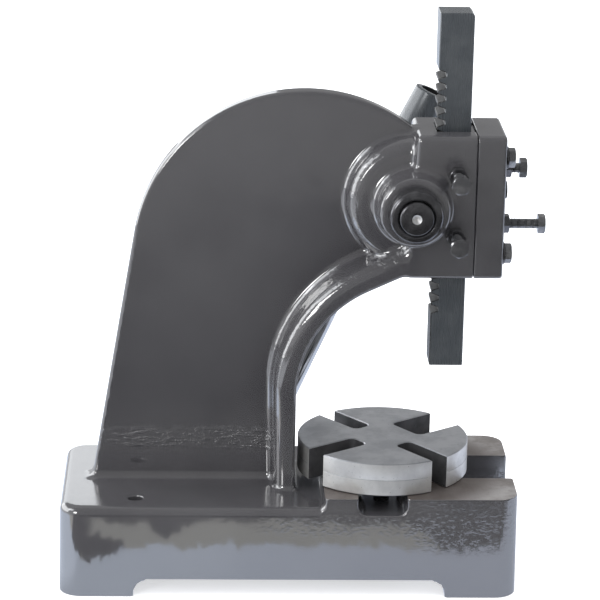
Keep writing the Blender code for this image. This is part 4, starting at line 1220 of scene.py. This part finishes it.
def makeHub():
    c = lever
    axes = (stretches((-16, 24, 1.2)), stretches((-46, 17, 1.2)), stretches((-66, 66, 1.4)))
    raw = castMesh("rawHub", hubField, axes, ramSteel)
    pinY = c["neckStart"] + c["pinFromFace"] - c["plane"]
    tools = [
        drill(c["bore"], -70, 70, upright, (0, 0, 0), shadedBoreIron),
        drill(c["socket"], c["neckStart"] - c["plane"] - 4, c["socketEnd"] - c["plane"], toFar, (c["offset"], 0, 0),
              shadedBoreIron),
        drill(machining["screwHole"], 0, 20, toFar, (0, 0, c["lockUp"]), shadedBoreIron, 24),
        drill(screwTap, -24, 24, toFront, (c["offset"], pinY, 0), shadedBoreIron, 24),
    ]
    made = cutAway(raw, tools, "leverHub")
    castShading(made, hubField)
    made.data.transform(leverPlace)
    dressed(made, "pinion_body", None, "black_steel", "lever_hub", smooth=None)
    screw = oneScrew(9.3, 18, 5.6, leverPlace @ shifted(0, 0, c["lockUp"]) @ toFar, 3.4, 1.0)
    screw.name = "lockScrew"
    dressed(screw, "pinion_body", None, "black_steel", "lever_lock_screw", smooth=20)
    # a rolled pin: a tube with a slit
    inner, outer, half = c["pinBore"], c["pinRadius"], c["pinHalf"]
    outline = outlined([(inner, -half), (outer, -half), (outer, half), (inner, half)], [0, 0.6, 0.6, 0], steps=2)
    tube = revolved("pin", outline, 32, closed=True)
    pin = cutAway(tube, [box("slit", (0, -0.4, -20), (5, 0.4, 20))], "crossPin")
    placed(pin, leverPlace @ shifted(c["offset"], pinY, 0) @ toFront)
    dressed(pin, "pinion_body", blackSteel, "black_steel", "hub_cross_pin")


bar = {"radius": 9, "up": 48, "down": 250, "stud": 5, "studLength": 16, "knob": 13.5, "knobLength": 27,
       "collar": 9.4, "collarHeight": 2.2}


def makeBar():
    b = bar
    end = -b["down"] - b["studLength"]
    corners = [(0, b["up"]), (b["radius"], b["up"]), (b["radius"], -b["down"]), (b["stud"], -b["down"]),
               (b["stud"], end), (0, end)]
    outline = outlined(corners, [0, 1.6, 0.7, 0, 0.8, 0], False)
    made = revolved("leverBar", outline, 64)
    made.data.transform(leverPlace)
    dressed(made, "lever_body", polishedSteel, "polished_steel", "lever_bar")
    top = -b["down"] - 0.3
    bottom = top - b["knobLength"]
    centre = bottom + b["knob"]
    hole = b["stud"] + 0.3
    ball = arcPoints((0, centre), b["knob"], 34, -90, 24)
    neck = [(hole, end - 0.3), (hole, top), (b["collar"], top), (b["collar"], top - b["collarHeight"]), ball[0]]
    profile = [(0, end - 0.3), *rounded(neck, [0, 0, 0.8, 1.2, 0], False), *ball[1:-1], (0, bottom)]
    knob = revolved("leverKnob", scaled(profile), 64)
    knob.data.transform(leverPlace)
    dressed(knob, "lever_body", knobPlastic, "black_plastic", "lever_knob")


makeShaft()
makeCollar()
makeHub()
makeBar()
print("shaft, hub and lever made")


# Table plate and its pin

plate = {"radius": 65.33, "bottom": 78.8, "thickness": 25.4, "slotRoot": 22.5, "slotCorner": 5,
         "angles": (36.8, 128.7, 215.9, 307.8), "widths": (33, 15.5, 17.5, 15), "chamfer": 0.7, "line": 0.22}


def makePlate():
    p = plate
    points = []
    rim = []
    rims = []
    for angle, width in zip(p["angles"], p["widths"]):
        half = math.degrees(math.asin(width / 2 / p["radius"]))
        rims.append((angle - half, angle + half))
    for number, (angle, width) in enumerate(zip(p["angles"], p["widths"])):
        corner = min(p["slotCorner"], width / 2)
        side = width / 2 - corner
        root = p["slotRoot"] + corner
        local = [*arcPoints((root, -side), corner, 270, 180, 8), *arcPoints((root, side), corner, 180, 90, 8)]
        turn = Matrix.Rotation(rad(angle), 2)
        slotPoints = [tuple(turn @ Vector(point)) for point in local]
        start = rims[number][1]
        sweep = (rims[(number + 1) % len(rims)][0] - start) % 360
        rimPoints = arcPoints((0, 0), p["radius"], start, start + sweep, 28)
        points += slotPoints + rimPoints
        rim += [False] * len(slotPoints) + [False] + [True] * (len(rimPoints) - 2) + [False]
    low, high = p["bottom"] * mm, (p["bottom"] + p["thickness"]) * mm
    chamfer = p["chamfer"] * mm
    line = [p["line"] * mm if on else 0 for on in rim]
    step = [0.1 * mm if on else 0 for on in rim]
    middle = (low + high) / 2
    levels = [(low, chamfer), (low + chamfer, 0), (middle - 0.5 * mm, 0), (middle - 0.3 * mm, line),
              (middle + 0.1 * mm, line), (middle + 0.5 * mm, step), (high - chamfer, step), (high, chamfer)]
    spot = pressZero + Vector((-plateLeft * mm, 0, 0))
    raw = layered("rawPlate", scaled(points), levels)
    made = cutAway(raw, [drill(machining["pinHole"], 74, 96.5, upright, steps=32)], "slottedPlate")
    made.data.transform(Matrix.Translation(spot))
    dressed(made, "table_body", plateIron, "machined_iron", "table_plate", smooth=24)
    # the rim is turned bright, and the slot walls get a dark iron as painted shade
    made.data.materials.append(turnedIron)
    made.data.materials.append(shadedSlotIron)
    for face in made.data.polygons:
        if abs(face.normal.z) < 0.5:
            out = face.center - spot
            face.material_index = 1 if math.hypot(out.x, out.y) > (p["radius"] - 0.8) * mm else 2
    corners = [(0, 96.2), (6, 96.2), (6, 52.5), (0, 52.5)]
    pin = revolved("tablePin", outlined(corners, [0, 1, 0.6, 0], False), 40)
    pin.data.transform(Matrix.Translation(spot))
    dressed(pin, "press_body", blackSteel, "black_steel", "table_pin")


makePlate()
print("table plate made")


# Stage, light and camera

camera = {"focal": 2762.54, "imageWidth": 600, "yaw": 0.0389177, "pitch": 0.2990497, "roll": 0.0194441,
          "place": (-188.519, -1994.387, 827.362)}


def makeCamera():
    c = camera
    yaw, pitch, roll = c["yaw"], c["pitch"], c["roll"]
    forward = Vector((math.sin(yaw) * math.cos(pitch), math.cos(yaw) * math.cos(pitch), -math.sin(pitch)))
    right = Vector((math.cos(yaw), -math.sin(yaw), 0))
    up = right.cross(forward)
    turnedRight = math.cos(roll) * right + math.sin(roll) * up
    turnedUp = -math.sin(roll) * right + math.cos(roll) * up
    data = bpy.data.cameras.new("camera")
    data.sensor_width = 36
    data.lens = c["focal"] / c["imageWidth"] * data.sensor_width
    data.clip_start = 0.05
    data.clip_end = 30
    made = linked("camera", data)
    turn = Matrix((turnedRight, turnedUp, -forward)).transposed().to_4x4()
    made.matrix_world = Matrix.Translation(Vector(c["place"]) * mm + pressZero) @ turn
    bpy.context.scene.camera = made


def makeWorld():
    world = bpy.data.worlds.new("studio")
    bpy.context.scene.world = world
    world.use_nodes = True
    finish = Finish(world.node_tree, "ShaderNodeOutputWorld")
    x, y, z = finish.parts(finish.coords("Generated"))
    seen, glossy = finish.ray("Is Camera Ray"), finish.ray("Is Glossy Ray")
    # what the paint mirrors: a grey room, brighter low down behind and at the left
    low = z.above(0.17, 0.05)
    left = x.above(-0.25, -0.8) * z.above(0.6, 0.45)
    behind = y.above(-0.1, 0.2)
    mirrored = 0.18 + behind * 0.13 + behind * low * 0.5 + left * 0.35
    soft = 0.18 + z.above(-0.1, 1.0) * 1.65
    light = glossy * mirrored + (1 - glossy) * soft
    strength = seen + (1 - seen) * light
    shade = finish.node("ShaderNodeBackground", {}, {"Color": (0.985, 0.99, 1.0, 1), "Strength": strength})
    finish.feed(finish.output, {0: shade})


# painted reflection, seen on the floor by glossy rays only: the room that the paint mirrors, as distance before the
# press and greyness, then dark spots as place across, distance, half width and half length
paintedRoom = ((0, 0.10), (0.20, 0.10), (0.27, 0.06), (0.34, 0.020), (0.43, 0.030), (0.58, 0.065), (0.73, 0.095),
        (0.90, 0.115), (1.10, 0.14), (1.4, 0.18))
paintedDarkSpots = ((-0.225, 0.135, 0.062, 0.090), (-0.156, 0.103, 0.021, 0.024), (-0.103, 0.155, 0.012, 0.026))


def makeFloor():
    half, height = 4, -0.4 * mm
    made = meshObject("floor", [(-half, -half, height), (half, -half, height), (half, half, height),
                                (-half, half, height)], [(0, 1, 2, 3)])
    surface = bpy.data.materials.new("paleFloorPaintedReflection")
    surface.use_nodes = True
    finish = Finish(surface.node_tree, "ShaderNodeOutputMaterial")
    spot = finish.coords()
    x, y, _ = finish.parts(spot)
    seen, glossy = finish.ray("Is Camera Ray"), finish.ray("Is Glossy Ray")
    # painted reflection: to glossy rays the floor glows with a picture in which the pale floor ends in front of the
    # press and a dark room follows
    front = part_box("frame")[0].y
    reach = 1.4
    torn = finish.noise(finish.stretched(spot, (1, 0.32, 1)), 150, 4, 0.65) - 0.5
    frayed = finish.noise(finish.stretched(spot, (1, 0.32, 1)), 30, 2) - 0.5
    ahead = front - y
    edge = ahead + torn * 0.06 + frayed * 0.05
    rightEnd = x.above(0.085, 0.135)
    paleEdge = 0.108 - x.above(-0.13, -0.15) * 0.028 - rightEnd * 0.006
    paintedBoardEdge = 0.161 - rightEnd * 0.085
    stops = [(place / reach, (grey, grey, grey)) for place, grey in paintedRoom]
    mirrored = finish.node("ShaderNodeValToRGB", {"stops": stops}, {"Fac": ahead * (1 / reach)})
    dim = x.above(-0.05, 0.07) * ahead.above(0.40, 0.62) * ahead.above(1.12, 0.97) * 0.8
    mirrored = finish.blend(dim, mirrored, (0.01, 0.01, 0.011))
    # painted reflection of an olive board beyond the pale stretch
    paintedBoard = (edge - paintedBoardEdge).above(0.003, -0.003)
    olive = finish.blend(x.above(-0.21, -0.15), (0.63, 0.62, 0.59), (0.50, 0.50, 0.47))
    mirrored = finish.blend(paintedBoard, mirrored, olive)
    # painted reflection: dark spots in the mirrored picture before the left corner
    for across, along, width, length in paintedDarkSpots:
        u = (x - across) * (1 / width)
        v = (edge - along) * (1 / length)
        mirrored = finish.blend((u * u + v * v).above(1.15, 0.85), mirrored, (0.10, 0.10, 0.105))
    pale = (edge - paleEdge).above(0.004, -0.004)
    shade = finish.blend(x.above(-0.16, 0.12), (0.80, 0.89, 1.05), (0.66, 0.72, 0.86))
    mirrored = finish.blend(pale, mirrored, shade)
    # painted reflection: the mirrored picture is lighter far out at the left
    far = x.above(-0.40, -0.50) * y.above(front - 1.3, front - 0.6)
    mirrored = finish.blend(far, mirrored, (0.62, 0.64, 0.68))
    # painted reflection: the picture glows brighter close in front at the left
    side = x.above(-0.18, -0.22) * ahead.above(0.14, 0.05)
    strength = 1.25 + side * 0.4
    diffuse = finish.node("ShaderNodeBsdfDiffuse", {}, {"Color": (0.86, 0.87, 0.89, 1)})
    glow = finish.node("ShaderNodeEmission", {}, {"Color": (1, 1, 1, 1), "Strength": seen * 0.56})
    both = finish.node("ShaderNodeAddShader", {}, {0: diffuse, 1: glow})
    image = finish.node("ShaderNodeEmission", {}, {"Color": mirrored, "Strength": strength})
    last = finish.node("ShaderNodeMixShader", {}, {0: glossy, 1: both, 2: image})
    finish.feed(finish.output, {0: last})
    made.data.materials.append(surface)


def softbox(name, place, target, size, radiance, colour):
    data = bpy.data.lights.new(name, "AREA")
    data.shape = "RECTANGLE"
    data.size, data.size_y = size
    data.energy = radiance * math.pi * size[0] * size[1]
    data.color = colour
    made = linked(name, data)
    made.location = place
    made.rotation_euler = (Vector(target) - Vector(place)).to_track_quat("-Z", "Y").to_euler()
    made.visible_camera = False


lamps = {
    "leftSoftbox": {"place": (-1.5, 0.75, 0.68), "target": (-0.2, 0.75, 0.5), "size": (2.5, 1.05), "radiance": 2.3,
                    "colour": (0.97, 0.98, 1.0)},
    "backSoftbox": {"place": (-0.75, 1.7, 0.62), "target": (-0.2, 0, 0.2), "size": (1.3, 0.7), "radiance": 1.9,
                    "colour": (0.94, 0.97, 1.0)},
    "windowSoftbox": {"place": (-1.25, -0.42, 1.22), "target": (0, -0.05, 0.3), "size": (0.75, 0.55),
                      "radiance": 2.2, "colour": (0.95, 0.97, 1.0)},
    "frontLamp": {"place": (-1.1, -1.5, 0.75), "target": (0, 0, 0.15), "size": (0.5, 0.5), "radiance": 8.0,
                  "colour": (1, 1, 1)},
}


def makeStage():
    makeCamera()
    makeWorld()
    makeFloor()
    for name, lamp in lamps.items():
        softbox(name, **lamp)


makeStage()
scene = bpy.context.scene
scene.view_settings.view_transform = "Standard"
print("stage, light and camera made")
